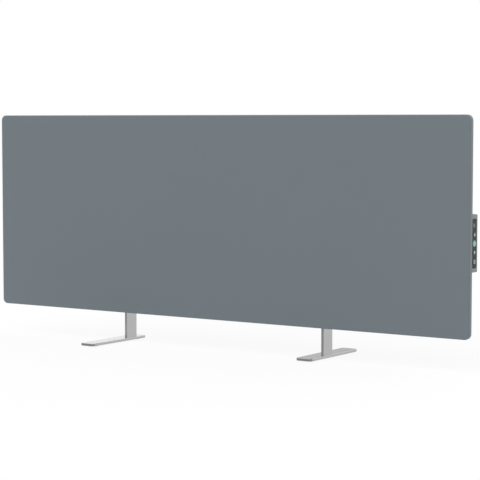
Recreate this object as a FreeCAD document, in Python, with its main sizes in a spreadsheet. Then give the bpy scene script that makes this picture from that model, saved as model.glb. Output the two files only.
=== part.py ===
import FreeCAD, Part
import math
import os
import re
import Sketcher

# A free-standing panel convector heater, in millimetres.
# X runs along the panel to the right, Y from front to back and Z up. The origin is on the floor,
# under the middle of the panel, half way between the foremost and the hindmost end of the foot bars.

SIZES = {
    # Front panel, a tray of sheet metal that opens to the back
    "panel_width": 1021,
    "panel_height": 370,
    "panel_depth": 8.5,
    "panel_sheet": 1.2,
    "panel_corner": 10,
    "panel_edge": 2,
    "panel_gap": 55.5,
    "panel_setback": 27,
    "standoff_radius": 4,
    "standoff_side": 30,
    "standoff_edge": 40,
    "standoff_floor": 0.6,
    # Chassis plate inside the tray
    "chassis_sheet": 1,
    "chassis_recess": 0.5,
    "chassis_fit": 0.5,
    "screw_overrun": 3,
    # Rear cover, which makes the warm-air channel
    "cover_rise": 20,
    "cover_drop": 20,
    "cover_depth": 36,
    "cover_sheet": 1,
    "cover_flange": 12,
    "cover_corner": 6,
    "cover_bend": 4,
    "cover_screw_end": 40,
    "cover_side_screw": 70,
    "outlet_end": 25,
    "inlet_end": 25,
    "inlet_clear": 14,
    "grille_opening": 20,
    "grille_sheet": 1,
    "grille_lap": 3,
    "slot_rim": 1.5,
    "slot_width": 5,
    "slot_pitch": 9,
    # Heat shield and its rivets
    "shield_sheet": 0.8,
    "shield_stand": 4,
    "shield_foot": 12,
    "shield_low": 50,
    "shield_high": 50,
    "shield_side": 12,
    "rivet_radius": 2,
    "rivet_head": 3.5,
    "rivet_height": 1,
    "rivet_end": 50,
    # Heating element and its supports
    "element_rise": 75,
    "element_back": 15,
    "element_left": 35,
    "element_right": 70,
    "pin_radius": 1.5,
    "pin_length": 12,
    "rod_radius": 4,
    "rod_fit": 0.05,
    "core_radius": 7,
    "fin_reach": 17,
    "fin_thick": 2,
    "fin_gap": 12,
    "bracket_inset": 10,
    "bracket_sheet": 1.5,
    "bracket_height": 30,
    "bracket_depth": 25,
    "bracket_foot": 14,
    "bracket_screw": 9,
    "bracket_screw_out": 8.4,
    "bush_radius": 6,
    "bush_flange": 8.5,
    "bush_collar": 2,
    "bush_neck": 4,
    # Thermal cut-out beside the element's right-hand end
    "cutout_gap": 38,
    "cutout_plate": 1,
    "cutout_half": 16,
    "cutout_width": 12,
    "cutout_radius": 9,
    "cutout_height": 8,
    "cutout_tab": 9,
    "cutout_tab_width": 8,
    "cutout_reach": 15,
    "cutout_screw": 12.5,
    # Earth tab
    "earth_out": 32,
    "earth_width": 8,
    "earth_sheet": 0.8,
    "earth_foot": 12,
    "earth_reach": 16,
    "earth_drop": 26,
    "earth_screw_drop": 7.2,
    # Wires, clips and conduit
    "wire_radius": 1.1,
    "wire_bend": 11,
    "wire_sweep": 30,
    "wire_ring": 1.9,
    "wire_stand": 3,
    "wire_turn": 15,
    "clip_end": 69,
    "clip_length": 8,
    "clip_height": 7,
    "clip_wall": 1.4,
    "clip_fit": 0.05,
    "conduit_gap": 16.5,
    "conduit_back": 11,
    "conduit_radius": 5,
    "conduit_bore": 3.6,
    "conduit_collar": 7,
    "conduit_lap": 3,
    "conduit_fit": 0.05,
    # Control housing at the right-hand edge, and its lid
    "housing_inset": 2,
    "housing_width": 62,
    "housing_height": 96,
    "housing_depth": 21.3,
    "housing_wall": 2,
    "housing_corner": 2,
    "control_rise": 110.3,
    "key_wall": 3.5,
    "lid_thick": 3.5,
    "lid_edge": 2.5,
    "lid_sink": 1.6,
    "lid_post": 2.8,
    "lid_post_inset": 3.5,
    "lid_post_clear": 5.1,
    "housing_screw_inset": 8,
    "housing_screw_rise": 25,
    # Key strip, buttons and lens
    "strip_back": 11.9,
    "strip_width": 16,
    "strip_height": 82,
    "strip_corner": 3,
    "strip_recess": 1.8,
    "strip_sheet": 1.4,
    "strip_ledge": 1.4,
    "strip_fit": 0.2,
    "key_pitch": 15,
    "key_radius": 4.5,
    "key_edge": 0.7,
    "key_fit": 0.1,
    "key_proud": 1,
    "key_flange_radius": 5.2,
    "power_key_radius": 5.4,
    "power_flange_radius": 6.2,
    "key_flange": 0.8,
    "key_rest_gap": 0.1,
    "key_stem": 1.5,
    "key_travel": 0.5,
    "lens_radius": 3.5,
    "lens_flange_radius": 4.5,
    "lens_gap": 0.4,
    # Key board and its switches
    "board_sheet": 1.6,
    "board_fit": 0.5,
    "key_board_depth": 7,
    "key_board_width": 15,
    "key_boss": 5.5,
    "key_boss_width": 8,
    "switch_side": 6,
    "switch_height": 3.5,
    "plunger_radius": 1.6,
    "plunger_length": 1.9,
    "plunger_proud": 0.7,
    "plunger_fit": 0.1,
    "plunger_clear": 0.3,
    "lamp_side": 2,
    "lamp_height": 1.2,
    "lamp_offset": 5,
    # Power board and what stands on it
    "board_stand": 3,
    "board_post": 2.5,
    "board_hole_inset": 3.5,
    "power_margin": 7.5,
    "power_height": 88,
    "terminal_inset": 2,
    "terminal_length": 12,
    "terminal_height": 20,
    "terminal_depth": 11,
    "relay_gap": 2,
    "relay_margin": 2,
    "relay_height": 19,
    "relay_depth": 11.5,
    "supply_rise": 14,
    "supply_inset": 3,
    "supply_height": 24,
    "supply_depth": 12,
    "tilt_drop": 20,
    "tilt_inset": 3,
    "tilt_length": 14,
    "tilt_height": 18,
    "tilt_depth": 12,
    "tilt_wall": 1,
    "tilt_pivot_drop": 4,
    "tilt_pin": 0.7,
    "tilt_pin_fit": 0.05,
    "tilt_eye": 1.6,
    "tilt_arm": 8,
    "tilt_arm_width": 1.2,
    "tilt_bob": 2,
    "tilt_bob_length": 6,
    "tilt_gap": 1,
    # Cable bush and room sensor in the housing's bottom wall
    "cable_back": 12,
    "cable_bore": 3.8,
    "cable_neck": 5.5,
    "cable_flange": 7.5,
    "cable_flange_height": 3,
    "cable_lip": 6.3,
    "cable_lip_height": 1.4,
    "cable_fit": 0.1,
    "sensor_clear": 6.5,
    "sensor_radius": 2.4,
    "sensor_drop": 8,
    "sensor_rise": 1.5,
    "sensor_flange": 4,
    "sensor_flange_height": 1.6,
    # Feet
    "post_spacing": 434,
    "post_shift": 4.5,
    "post_thick": 5,
    "post_width": 30,
    "post_flange": 42,
    "post_bend": 3,
    "post_edge": 0.6,
    "post_screw_near": 11,
    "post_screw_far": 29,
    "nut_sheet": 3,
    "nut_edge": 7,
    "nut_width": 20,
    "bar_width": 32,
    "bar_length": 160,
    "bar_thick": 4.5,
    "bar_corner": 6,
    "bar_edge": 0.8,
    "bar_lip": 2,
    "bar_fore": 37.25,
    "bar_aft": 20.25,
    "bar_screw": 8,
    "bar_counterbore": 2,
    "bar_counterbore_radius": 3.1,
    "bar_screw_grip": 10,
    "pad_radius": 10,
    "pad_thick": 1.5,
    "pad_end": 18,
    # Screws: thread radius, head radius, head height and socket
    "thread_fit": 0.05,
    "hole_overrun": 1,
    "small_radius": 1.25,
    "small_head": 2.2,
    "small_height": 1.4,
    "small_socket": 1.1,
    "small_length": 4,
    "medium_radius": 1.5,
    "medium_head": 2.75,
    "medium_height": 1.8,
    "medium_socket": 1.4,
    "large_radius": 2,
    "large_head": 3.6,
    "large_height": 2.4,
    "large_socket": 1.8,
    "heavy_radius": 2.5,
    "heavy_head": 4.5,
    "heavy_height": 3,
    "heavy_socket": 2.4,
    "heavy_overrun": 2,
}

# Places worked out from the sizes
PLACES = {
    "post_y": "(bar_fore - bar_aft) / 2",
    "panel_half": "panel_width / 2",
    "panel_front": "post_y - panel_setback",
    "panel_back": "panel_front + panel_depth",
    "panel_inside": "panel_front + panel_sheet",
    "panel_top": "panel_gap + panel_height",
    "panel_middle": "panel_gap + panel_height / 2",
    "chassis_back": "panel_back - chassis_recess",
    "chassis_front": "chassis_back - chassis_sheet",
    "standoff_x": "panel_half - standoff_side",
    "standoff_low": "panel_gap + standoff_edge",
    "standoff_high": "panel_top - standoff_edge",
    "housing_right": "panel_half - housing_inset",
    "housing_left": "housing_right - housing_width",
    "housing_bottom": "panel_gap + control_rise",
    "housing_middle": "housing_bottom + housing_height / 2",
    "housing_floor": "chassis_back + housing_wall",
    "housing_rim": "chassis_back + housing_depth",
    "housing_inner": "housing_height / 2 - housing_wall",
    "key_wall_inside": "housing_right - key_wall",
    "strip_y": "chassis_back + strip_back",
    "strip_seat": "housing_right - strip_recess",
    "strip_face": "strip_seat + strip_sheet",
    "key_back": "strip_seat - key_rest_gap - key_flange",
    "key_board_face": "strip_seat - key_board_depth",
    "key_board_back": "key_board_face - board_sheet",
    "plunger_top": "key_board_face + switch_height + plunger_proud",
    "lid_post_right": "key_board_back - lid_post_clear",
    "power_left": "housing_left + housing_wall + power_margin",
    "power_right": "lid_post_right - lid_post_inset - board_fit",
    "power_width": "power_right - power_left",
    "power_seat": "housing_floor + board_stand",
    "power_face": "power_seat + board_sheet",
    "lid_post_left": "housing_left + housing_wall + lid_post_inset",
    "lid_post_z": "housing_inner - lid_post_inset",
    "terminal_left": "power_left + terminal_inset",
    "terminal_right": "terminal_left + terminal_length",
    "relay_left": "terminal_right + relay_gap",
    "relay_length": "power_right - relay_margin - relay_left",
    "sensor_x": "lid_post_right - sensor_clear",
    "cable_x": "(lid_post_left + sensor_x) / 2",
    "cable_y": "chassis_back + cable_back",
    "tilt_x": "power_right - tilt_inset - tilt_length",
    "tilt_top": "housing_middle - tilt_drop + tilt_height / 2",
    "tilt_pivot_y": "power_face + tilt_depth / 2",
    "tilt_pivot_z": "tilt_top - tilt_pivot_drop",
    "cover_half": "housing_left - conduit_gap",
    "cover_end": "cover_half - cover_sheet",
    "cover_bottom": "panel_gap + cover_rise",
    "cover_top": "panel_top - cover_drop",
    "cover_middle": "(cover_bottom + cover_top) / 2",
    "cover_height": "cover_top - cover_bottom",
    "cover_back": "chassis_back + cover_depth",
    "cover_inside": "cover_back - cover_sheet",
    "grille_y": "(chassis_back + cover_back) / 2 - grille_lap / 2",
    "outlet_half": "cover_half - outlet_end",
    "shield_back": "cover_inside - shield_stand",
    "shield_bottom": "cover_bottom + shield_low",
    "shield_top": "cover_top - shield_high",
    "shield_half": "cover_end - shield_side",
    "element_y": "chassis_back + element_back",
    "element_z": "cover_bottom + element_rise",
    "pin_left": "-cover_end + element_left",
    "pin_right": "cover_end - element_right",
    "rod_left": "pin_left + pin_length",
    "rod_right": "pin_right - pin_length",
    "bracket_left": "rod_left + bracket_inset",
    "bracket_right": "rod_right - bracket_inset",
    "cutout_x": "pin_right + cutout_gap",
    "cutout_face": "chassis_back + cutout_plate + cutout_height",
    "conduit_y": "chassis_back + conduit_back",
    "conduit_z": "housing_middle",
    "wire_y": "chassis_back + wire_stand",
    "clip_half": "cover_end - clip_end",
    "earth_x": "cover_end - earth_out / 2",
    "earth_z": "conduit_z - earth_drop",
    "left_post": "post_shift - post_spacing / 2",
    "right_post": "post_shift + post_spacing / 2",
    "bar_top": "pad_thick + bar_thick",
    "bar_offset": "post_thick / 2 + bar_lip - bar_width / 2",
}

SHEET_OF = {**dict.fromkeys(SIZES, "Sizes"), **dict.fromkeys(PLACES, "Places")}
NORMALS = {"XY": "+z", "XZ": "-y", "YZ": "+x"}
AXES = {
    "x": FreeCAD.Vector(1, 0, 0),
    "y": FreeCAD.Vector(0, 1, 0),
    "z": FreeCAD.Vector(0, 0, 1),
}
NODES = []

doc = FreeCAD.newDocument("panel_heater")


def add_sheet(name):
    return doc.addObject("Spreadsheet::Sheet", name)


def fill_sheet(sheet, cells):
    """Write one row for each cell: its alias in column A and its content in column B."""
    for row, (alias, content) in enumerate(cells.items(), start=1):
        sheet.set(f"A{row}", alias)
        sheet.set(f"B{row}", str(content))
        sheet.setAlias(f"B{row}", alias)


def qualified(formula, home=None):
    """Put the owning sheet's name before each alias in a formula, except in that sheet itself."""

    def owner(match):
        sheet = SHEET_OF.get(match[0])
        return match[0] if sheet in (None, home) else f"{sheet}.{match[0]}"

    return re.sub(r"[a-z]\w*", owner, formula)


sizes = add_sheet("Sizes")
places = add_sheet("Places")
fill_sheet(sizes, SIZES)
doc.recompute()
fill_sheet(places, {alias: "=" + qualified(formula, "Places") for alias, formula in PLACES.items()})
doc.recompute()


def value(formula):
    """The number that a formula stands for."""
    result = places.evalExpression(qualified(formula))
    return float(getattr(result, "Value", result))


def bind(thing, **formulas):
    for name, formula in formulas.items():
        thing.setExpression(name, qualified(formula))


def put(thing, x, y, z):
    """Bind the place of an object's own origin."""
    for axis, formula in zip("xyz", (x, y, z)):
        thing.setExpression(f"Placement.Base.{axis}", qualified(formula))


# Sketch shapes, each centred on or measured from its sketch's origin

def dimension(sketch, formula, kind, *geometry):
    index = sketch.addConstraint(Sketcher.Constraint(kind, *geometry, value(formula)))
    sketch.setExpression(f"Constraints[{index}]", qualified(formula))


def rectangle(sketch, width, height, corner=None, x="0", y="0"):
    """A rectangle about the point x, y, with round corners where a radius is given."""
    points = [
        (f"{x} - ({width}) / 2", f"{y} - ({height}) / 2"),
        (f"{x} + ({width}) / 2", f"{y} - ({height}) / 2"),
        (f"{x} + ({width}) / 2", f"{y} + ({height}) / 2"),
        (f"{x} - ({width}) / 2", f"{y} + ({height}) / 2"),
    ]
    if corner is None:
        polygon(sketch, points)
    else:
        round_polygon(sketch, points, corner)


def polygon(sketch, points):
    """A closed outline of straight sides through the points."""
    corners = [FreeCAD.Vector(value(x), value(y), 0) for x, y in points]
    sides = []
    for index, start in enumerate(corners):
        end = corners[(index + 1) % len(corners)]
        sides.append(sketch.addGeometry(Part.LineSegment(start, end), False))
    for index, side in enumerate(sides):
        following = sides[(index + 1) % len(sides)]
        sketch.addConstraint(Sketcher.Constraint("Coincident", side, 2, following, 1))
    for side, (x, y) in zip(sides, points):
        dimension(sketch, x, "DistanceX", -1, 1, side, 1)
        dimension(sketch, y, "DistanceY", -1, 1, side, 1)


def round_polygon(sketch, points, corner):
    """A rectangle through four points, counter-clockwise from its low corner, with round corners."""
    (left, low), (right, high) = points[0], points[2]
    x_low, y_low, x_high, y_high = value(left), value(low), value(right), value(high)
    radius = value(corner)

    def line(x_start, y_start, x_end, y_end):
        start = FreeCAD.Vector(x_start, y_start, 0)
        return sketch.addGeometry(Part.LineSegment(start, FreeCAD.Vector(x_end, y_end, 0)), False)

    def arc(x, y, quarter):
        circle = Part.Circle(FreeCAD.Vector(x, y, 0), FreeCAD.Vector(0, 0, 1), radius)
        start = quarter * math.pi / 2
        return sketch.addGeometry(Part.ArcOfCircle(circle, start, start + math.pi / 2), False)

    bottom = line(x_low + radius, y_low, x_high - radius, y_low)
    right_side = line(x_high, y_low + radius, x_high, y_high - radius)
    top = line(x_high - radius, y_high, x_low + radius, y_high)
    left_side = line(x_low, y_high - radius, x_low, y_low + radius)
    arcs = [
        arc(x_high - radius, y_low + radius, 3),
        arc(x_high - radius, y_high - radius, 0),
        arc(x_low + radius, y_high - radius, 1),
        arc(x_low + radius, y_low + radius, 2),
    ]
    sides = [bottom, right_side, top, left_side]
    for index, side in enumerate(sides):
        following = sides[(index + 1) % len(sides)]
        sketch.addConstraint(Sketcher.Constraint("Tangent", side, 2, arcs[index], 1))
        sketch.addConstraint(Sketcher.Constraint("Tangent", arcs[index], 2, following, 1))
    for side in (bottom, top):
        sketch.addConstraint(Sketcher.Constraint("Horizontal", side))
    for side in (left_side, right_side):
        sketch.addConstraint(Sketcher.Constraint("Vertical", side))
    for other in arcs[1:]:
        sketch.addConstraint(Sketcher.Constraint("Equal", arcs[0], other))
    dimension(sketch, corner, "Radius", arcs[0])
    dimension(sketch, low, "DistanceY", -1, 1, bottom, 1)
    dimension(sketch, high, "DistanceY", -1, 1, top, 1)
    dimension(sketch, left, "DistanceX", -1, 1, left_side, 1)
    dimension(sketch, right, "DistanceX", -1, 1, right_side, 1)


def circles(sketch, points, radius):
    """One circle of the given radius about each point."""
    for x, y in points:
        centre = FreeCAD.Vector(value(x), value(y), 0)
        circle = Part.Circle(centre, FreeCAD.Vector(0, 0, 1), value(radius))
        index = sketch.addGeometry(circle, False)
        dimension(sketch, x, "DistanceX", -1, 1, index, 3)
        dimension(sketch, y, "DistanceY", -1, 1, index, 3)
        dimension(sketch, radius, "Radius", index)


class Piece:
    """A body that is grown and cut from sketches on planes square to the axes."""

    def __init__(self, label, is_node=True):
        self.body = doc.addObject("PartDesign::Body", label)
        self.body.Label = label
        self.origin = {feature.Role: feature for feature in self.body.Origin.OriginFeatures}
        if is_node:
            NODES.append(self.body)

    def sketch(self, plane, level, x="0", y="0", turn=0):
        """A sketch on XY, XZ or YZ at a level along the third axis, its own origin at x, y."""
        sketch = self.body.newObject("Sketcher::SketchObject", "Sketch")
        sketch.AttachmentSupport = (self.origin[plane + "_Plane"], [""])
        sketch.MapMode = "FlatFace"
        sketch.AttachmentOffset = FreeCAD.Placement(FreeCAD.Vector(), FreeCAD.Rotation(turn, 0, 0))
        depth = f"-({level})" if NORMALS[plane][0] == "-" else level
        for axis, formula in zip("xyz", (x, y, depth)):
            sketch.setExpression(f"AttachmentOffset.Base.{axis}", qualified(formula))
        sketch.addProperty("App::PropertyString", "Facing", "Base", "The way the plane faces")
        sketch.Facing = NORMALS[plane]
        return sketch

    def feature(self, kind, sketch):
        feature = self.body.newObject(f"PartDesign::{kind}", kind)
        feature.Profile = sketch
        return feature

    def pad(self, sketch, length, toward):
        """Grow the sketch by a length, the way that toward names."""
        pad = self.feature("Pad", sketch)
        bind(pad, Length=length)
        pad.Reversed = toward != sketch.Facing
        doc.recompute()
        return pad

    def pocket(self, sketch, length, toward):
        """Cut the sketch in by a length, the way that toward names."""
        before = self.body.Shape.Volume
        pocket = self.feature("Pocket", sketch)
        bind(pocket, Length=length)
        pocket.Reversed = toward == sketch.Facing
        doc.recompute()
        if not self.body.Shape.Volume < before:
            raise RuntimeError(f"{self.body.Label}: a pocket cuts nothing")
        return pocket

    def holes(self, plane, level, points, radius, length, toward):
        """Round holes at points given along the plane's two axes."""
        sketch = self.sketch(plane, level)
        circles(sketch, points, radius)
        return self.pocket(sketch, length, toward)

    def studs(self, plane, level, points, radius, length, toward):
        """Round posts at points given along the plane's two axes."""
        sketch = self.sketch(plane, level)
        circles(sketch, points, radius)
        return self.pad(sketch, length, toward)

    def fillet(self, radius, axis, level):
        """Round every edge that lies flat at a level along an axis."""
        return self.round_edges(radius, lambda edge: lies_at(edge, axis, value(level)))

    def round_edges(self, radius, chosen):
        base = self.body.Tip
        names = [f"Edge{n}" for n, edge in enumerate(base.Shape.Edges, start=1) if chosen(edge)]
        fillet = self.body.newObject("PartDesign::Fillet", "Fillet")
        fillet.Base = (base, names)
        bind(fillet, Radius=radius)
        doc.recompute()
        return fillet

    def repeat(self, feature, span, count):
        """Repeat a feature along X, count times over the span."""
        pattern = self.body.newObject("PartDesign::LinearPattern", "Pattern")
        pattern.Originals = [feature]
        pattern.Direction = (self.origin["X_Axis"], [""])
        bind(pattern, Length=span, Occurrences=count)
        self.body.Tip = pattern
        doc.recompute()
        return pattern


def lies_at(edge, axis, level):
    """Whether all of an edge lies in the plane at a level along an axis."""
    box = edge.BoundBox
    low, high = {"x": (box.XMin, box.XMax), "y": (box.YMin, box.YMax), "z": (box.ZMin, box.ZMax)}[axis]
    near = 1e-3
    return abs(low - level) < near and abs(high - level) < near


# Plain solids and how they are put together

def block(x, y, z, length, width, height):
    """A box from its low corner, with its sizes along X, Y and Z."""
    box = doc.addObject("Part::Box", "Block")
    bind(box, Length=length, Width=width, Height=height)
    put(box, x, y, z)
    return box


def turned_to(thing, axis):
    thing.Placement = FreeCAD.Placement(FreeCAD.Vector(), FreeCAD.Rotation(AXES["z"], AXES[axis]))


def rod(axis, x, y, z, radius, length):
    """A round bar that starts at x, y, z and runs up along an axis."""
    bar = doc.addObject("Part::Cylinder", "Rod")
    bind(bar, Radius=radius, Height=length)
    turned_to(bar, axis)
    put(bar, x, y, z)
    return bar


def joined(*solids):
    fuse = doc.addObject("Part::MultiFuse", "Joined")
    fuse.Shapes = list(solids)
    fuse.Refine = True
    return fuse


def trimmed(base, *tools):
    cut = doc.addObject("Part::Cut", "Trimmed")
    cut.Base = base
    cut.Tool = tools[0] if len(tools) == 1 else joined(*tools)
    return cut


def node(label, thing):
    """Name a finished piece and keep it for the hand-over."""
    thing.Label = label
    NODES.append(thing)
    return thing


def group(label, solids):
    compound = doc.addObject("Part::Compound", label)
    compound.Links = list(solids)
    return node(label, compound)


def screw(toward, x, y, z, kind, length):
    """A socket screw: its head stands on a seat at x, y, z, on the side that toward names."""
    axis = toward[1]
    seat = {"x": x, "y": y, "z": z}
    height = f"{kind}_height"

    def start(outward, inward):
        offset = outward if toward[0] == "+" else inward
        return tuple(f"{seat[name]} + {offset}" if name == axis else seat[name] for name in "xyz")

    head = rod(axis, *start("0", f"(-{height})"), f"{kind}_head", height)
    shank = rod(axis, *start(f"(-({length}))", "0"), f"{kind}_radius - thread_fit", length)
    socket = doc.addObject("Part::Prism", "Socket")
    bind(socket, Circumradius=f"{kind}_socket", Height=f"{height} / 2")
    turned_to(socket, axis)
    put(socket, *start(f"{height} / 2", f"(-{height})"))
    return trimmed(joined(head, shank), socket)


def bent_tube(label, points, bends):
    """A round wire along straight runs, with a tangent arc of the given radius at each corner."""
    corners = [FreeCAD.Vector(*(value(formula) for formula in point)) for point in points]
    edges = []
    start = corners[0]
    for before, corner, after, bend in zip(corners, corners[1:], corners[2:], bends):
        back = (before - corner).normalize()
        ahead = (after - corner).normalize()
        turn = math.pi - back.getAngle(ahead)
        reach = value(bend) * math.tan(turn / 2)
        entry = corner + back * reach
        leave = corner + ahead * reach
        middle = (back + ahead).normalize()
        centre = corner + middle * math.hypot(reach, value(bend))
        edges.append(Part.LineSegment(start, entry).toShape())
        edges.append(Part.Arc(entry, centre - middle * value(bend), leave).toShape())
        start = leave
    edges.append(Part.LineSegment(start, corners[-1]).toShape())
    path = Part.Wire(edges)
    radius = value("wire_radius")
    ring = Part.Wire(Part.makeCircle(radius, corners[0], corners[1] - corners[0]))
    tube = path.makePipeShell([ring], True, True)
    expected = math.pi * radius ** 2 * path.Length
    if abs(tube.Volume - expected) > 0.01 * expected:
        raise RuntimeError(f"{label}: the tube does not follow its path")
    wire = doc.addObject("Part::Feature", label)
    wire.Shape = tube
    wire.Placement = FreeCAD.Placement()
    return node(label, wire)


# Where screws sit, as X and Z
STANDOFFS = [
    (x, z)
    for z in ("standoff_low", "standoff_high")
    for x in ("-standoff_x", "-standoff_x / 3", "standoff_x / 3", "standoff_x")
]
COVER_SCREWS = [
    (x, z)
    for z in ("cover_bottom - cover_flange / 2", "cover_top + cover_flange / 2")
    for x in ("cover_screw_end - cover_half", "0", "cover_half - cover_screw_end")
] + [
    (f"{side}(cover_half + cover_flange / 2)", f"cover_middle {rise} cover_side_screw")
    for side in ("-", "")
    for rise in ("-", "+")
]
BRACKET_SCREWS = [
    (x, f"element_z {rise} bracket_screw")
    for x in ("bracket_left - bracket_screw_out", "bracket_right + bracket_screw_out")
    for rise in ("-", "+")
]
CUTOUT_SCREWS = [(f"cutout_x {side} cutout_screw", "element_z") for side in ("-", "+")]
EARTH_SCREW = ("earth_x", "earth_z - earth_screw_drop")
HOUSING_SCREWS = [
    (x, f"housing_middle {rise} housing_screw_rise")
    for x in ("power_left + housing_screw_inset", "power_right - housing_screw_inset")
    for rise in ("-", "+")
]
LID_SCREWS = [
    (x, f"housing_middle {rise} lid_post_z")
    for x in ("lid_post_left", "lid_post_right")
    for rise in ("-", "+")
]
POWER_SCREWS = [
    (x, f"housing_middle {rise} (power_height / 2 - board_hole_inset)")
    for x in ("power_left + board_hole_inset", "power_right - board_hole_inset")
    for rise in ("-", "+")
]
KEY_SCREWS = [("strip_y", f"housing_middle {rise} (housing_inner - key_boss / 2)") for rise in ("-", "+")]
RIVETS = [
    (x, z)
    for z in ("shield_bottom - shield_foot / 2", "shield_top + shield_foot / 2")
    for x in ("rivet_end - shield_half", "0", "shield_half - rivet_end")
]

# The middle of each foot bar along Y: the left one is set fore and the right one aft
BAR_MIDDLES = {"left": "post_y - bar_fore", "right": "post_y + bar_aft"}

# Buttons and their places, counted in pitches up from the middle of the strip
BUTTONS = {"raise": 1, "power": 0, "lower": -1, "timer": -2}
LENS_STEP = 2


def key_z(step):
    return f"housing_middle + {step} * key_pitch"


def build_front_panel():
    """Tray with round corners, a soft front edge and tapped stand-offs inside."""
    panel = Piece("front_panel")
    outline = panel.sketch("XZ", "panel_front", y="panel_middle")
    rectangle(outline, "panel_width", "panel_height", "panel_corner")
    panel.pad(outline, "panel_depth", "+y")
    panel.fillet("panel_edge", "y", "panel_front")
    hollow = panel.sketch("XZ", "panel_back", y="panel_middle")
    inner = ("panel_width - 2 * panel_sheet", "panel_height - 2 * panel_sheet")
    rectangle(hollow, *inner, "panel_corner - panel_sheet")
    panel.pocket(hollow, "panel_depth - panel_sheet", "-y")
    panel.studs("XZ", "panel_inside", STANDOFFS, "standoff_radius", "chassis_front - panel_inside", "+y")
    depth = "chassis_front - panel_inside - standoff_floor"
    panel.holes("XZ", "chassis_front", STANDOFFS, "large_radius", depth, "-y")


def build_chassis_plate():
    """Flat plate that closes the tray and carries everything behind it."""
    plate = Piece("chassis_plate")
    outline = plate.sketch("XZ", "chassis_front", y="panel_middle")
    inset = "2 * (panel_sheet + chassis_fit)"
    corner = "panel_corner - panel_sheet - chassis_fit"
    rectangle(outline, f"panel_width - {inset}", f"panel_height - {inset}", corner)
    plate.pad(outline, "chassis_sheet", "+y")
    through = ("chassis_sheet", "+y")
    plate.holes("XZ", "chassis_front", STANDOFFS + COVER_SCREWS, "large_radius", *through)
    medium = BRACKET_SCREWS + CUTOUT_SCREWS + [EARTH_SCREW] + HOUSING_SCREWS
    plate.holes("XZ", "chassis_front", medium, "medium_radius", *through)


def post_screws(post):
    """Where one post's screws go through the cover's bottom wall."""
    left_face = f"{post} - post_thick / 2"
    return [(f"{left_face} - {step}", "post_y") for step in ("post_screw_near", "post_screw_far")]


def inlets():
    """The middle and length of each inlet opening along X, clear of the posts' flanges."""
    right_face = "+ post_thick / 2"
    spans = [
        ("inlet_end - cover_half", f"left_post {right_face} - post_flange - inlet_clear"),
        (f"left_post {right_face} + inlet_clear", f"right_post {right_face} - post_flange - inlet_clear"),
        (f"right_post {right_face} + inlet_clear", "cover_half - inlet_end"),
    ]
    return [(f"(({low}) + ({high})) / 2", f"({high}) - ({low})") for low, high in spans]


def build_rear_cover():
    """Deep folded tray with a flange, open to the chassis, with air openings above and below."""
    cover = Piece("rear_cover")
    outer = cover.sketch("XZ", "chassis_back", y="cover_middle")
    rectangle(outer, "2 * cover_half", "cover_height", "cover_corner")
    cover.pad(outer, "cover_depth", "+y")
    hollow = ("2 * cover_end", "cover_height - 2 * cover_sheet", "cover_corner - cover_sheet")
    inner = cover.sketch("XZ", "chassis_back", y="cover_middle")
    rectangle(inner, *hollow)
    cover.pocket(inner, "cover_depth - cover_sheet", "+y")
    cover.fillet("cover_bend - cover_sheet", "y", "cover_inside")
    cover.fillet("cover_bend", "y", "cover_back")
    flange = cover.sketch("XZ", "chassis_back", y="cover_middle")
    reach = "2 * cover_flange"
    rectangle(flange, f"2 * cover_half + {reach}", f"cover_height + {reach}", "cover_corner + cover_flange")
    rectangle(flange, *hollow)
    cover.pad(flange, "cover_sheet", "+y")
    cut = "2 * cover_sheet"
    outlet = cover.sketch("XY", "cover_top", y="grille_y")
    rectangle(outlet, "2 * outlet_half", "grille_opening")
    cover.pocket(outlet, cut, "-z")
    for middle, length in inlets():
        inlet = cover.sketch("XY", "cover_bottom", x=middle, y="grille_y")
        rectangle(inlet, length, "grille_opening")
        cover.pocket(inlet, cut, "+z")
    feet = post_screws("left_post") + post_screws("right_post")
    cover.holes("XY", "cover_bottom", feet, "heavy_radius", cut, "+z")
    cover.holes("XZ", "chassis_back", COVER_SCREWS, "large_radius", cut, "+y")
    cover.holes("XZ", "cover_back", RIVETS, "rivet_radius", cut, "-y")
    conduit = [("conduit_y", "conduit_z")]
    cover.holes("YZ", "cover_half", conduit, "conduit_radius + conduit_fit", cut, "-x")


def build_grille(label, level, middle, length, is_node):
    """Flat strip with a row of slots, which laps the edges of an air opening."""
    grille = Piece(label, is_node)
    strip = grille.sketch("XY", level, x=middle, y="grille_y")
    rectangle(strip, f"({length}) + 2 * grille_lap", "grille_opening + 2 * grille_lap")
    grille.pad(strip, "grille_sheet", "+z")
    steps = f"floor((({length}) - slot_width - 2 * slot_rim) / slot_pitch)"
    first = f"{middle} - {steps} * slot_pitch / 2"
    slot = grille.sketch("XY", level, x=first, y="grille_y")
    rectangle(slot, "slot_width", "grille_opening - 2 * slot_rim")
    pocket = grille.pocket(slot, "grille_sheet", "+z")
    grille.repeat(pocket, f"{steps} * slot_pitch", f"{steps} + 1")
    return grille.body


def build_grilles():
    """The outlet grille under the top wall and the three inlet grilles on the bottom wall."""
    level = "cover_top - cover_sheet - grille_sheet"
    build_grille("outlet_grille", level, "0", "2 * outlet_half", True)
    names = ("inlet_left", "inlet_middle", "inlet_right")
    level = "cover_bottom + cover_sheet"
    strips = [build_grille(name, level, *span, False) for name, span in zip(names, inlets())]
    group("inlet_grilles", strips)


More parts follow.
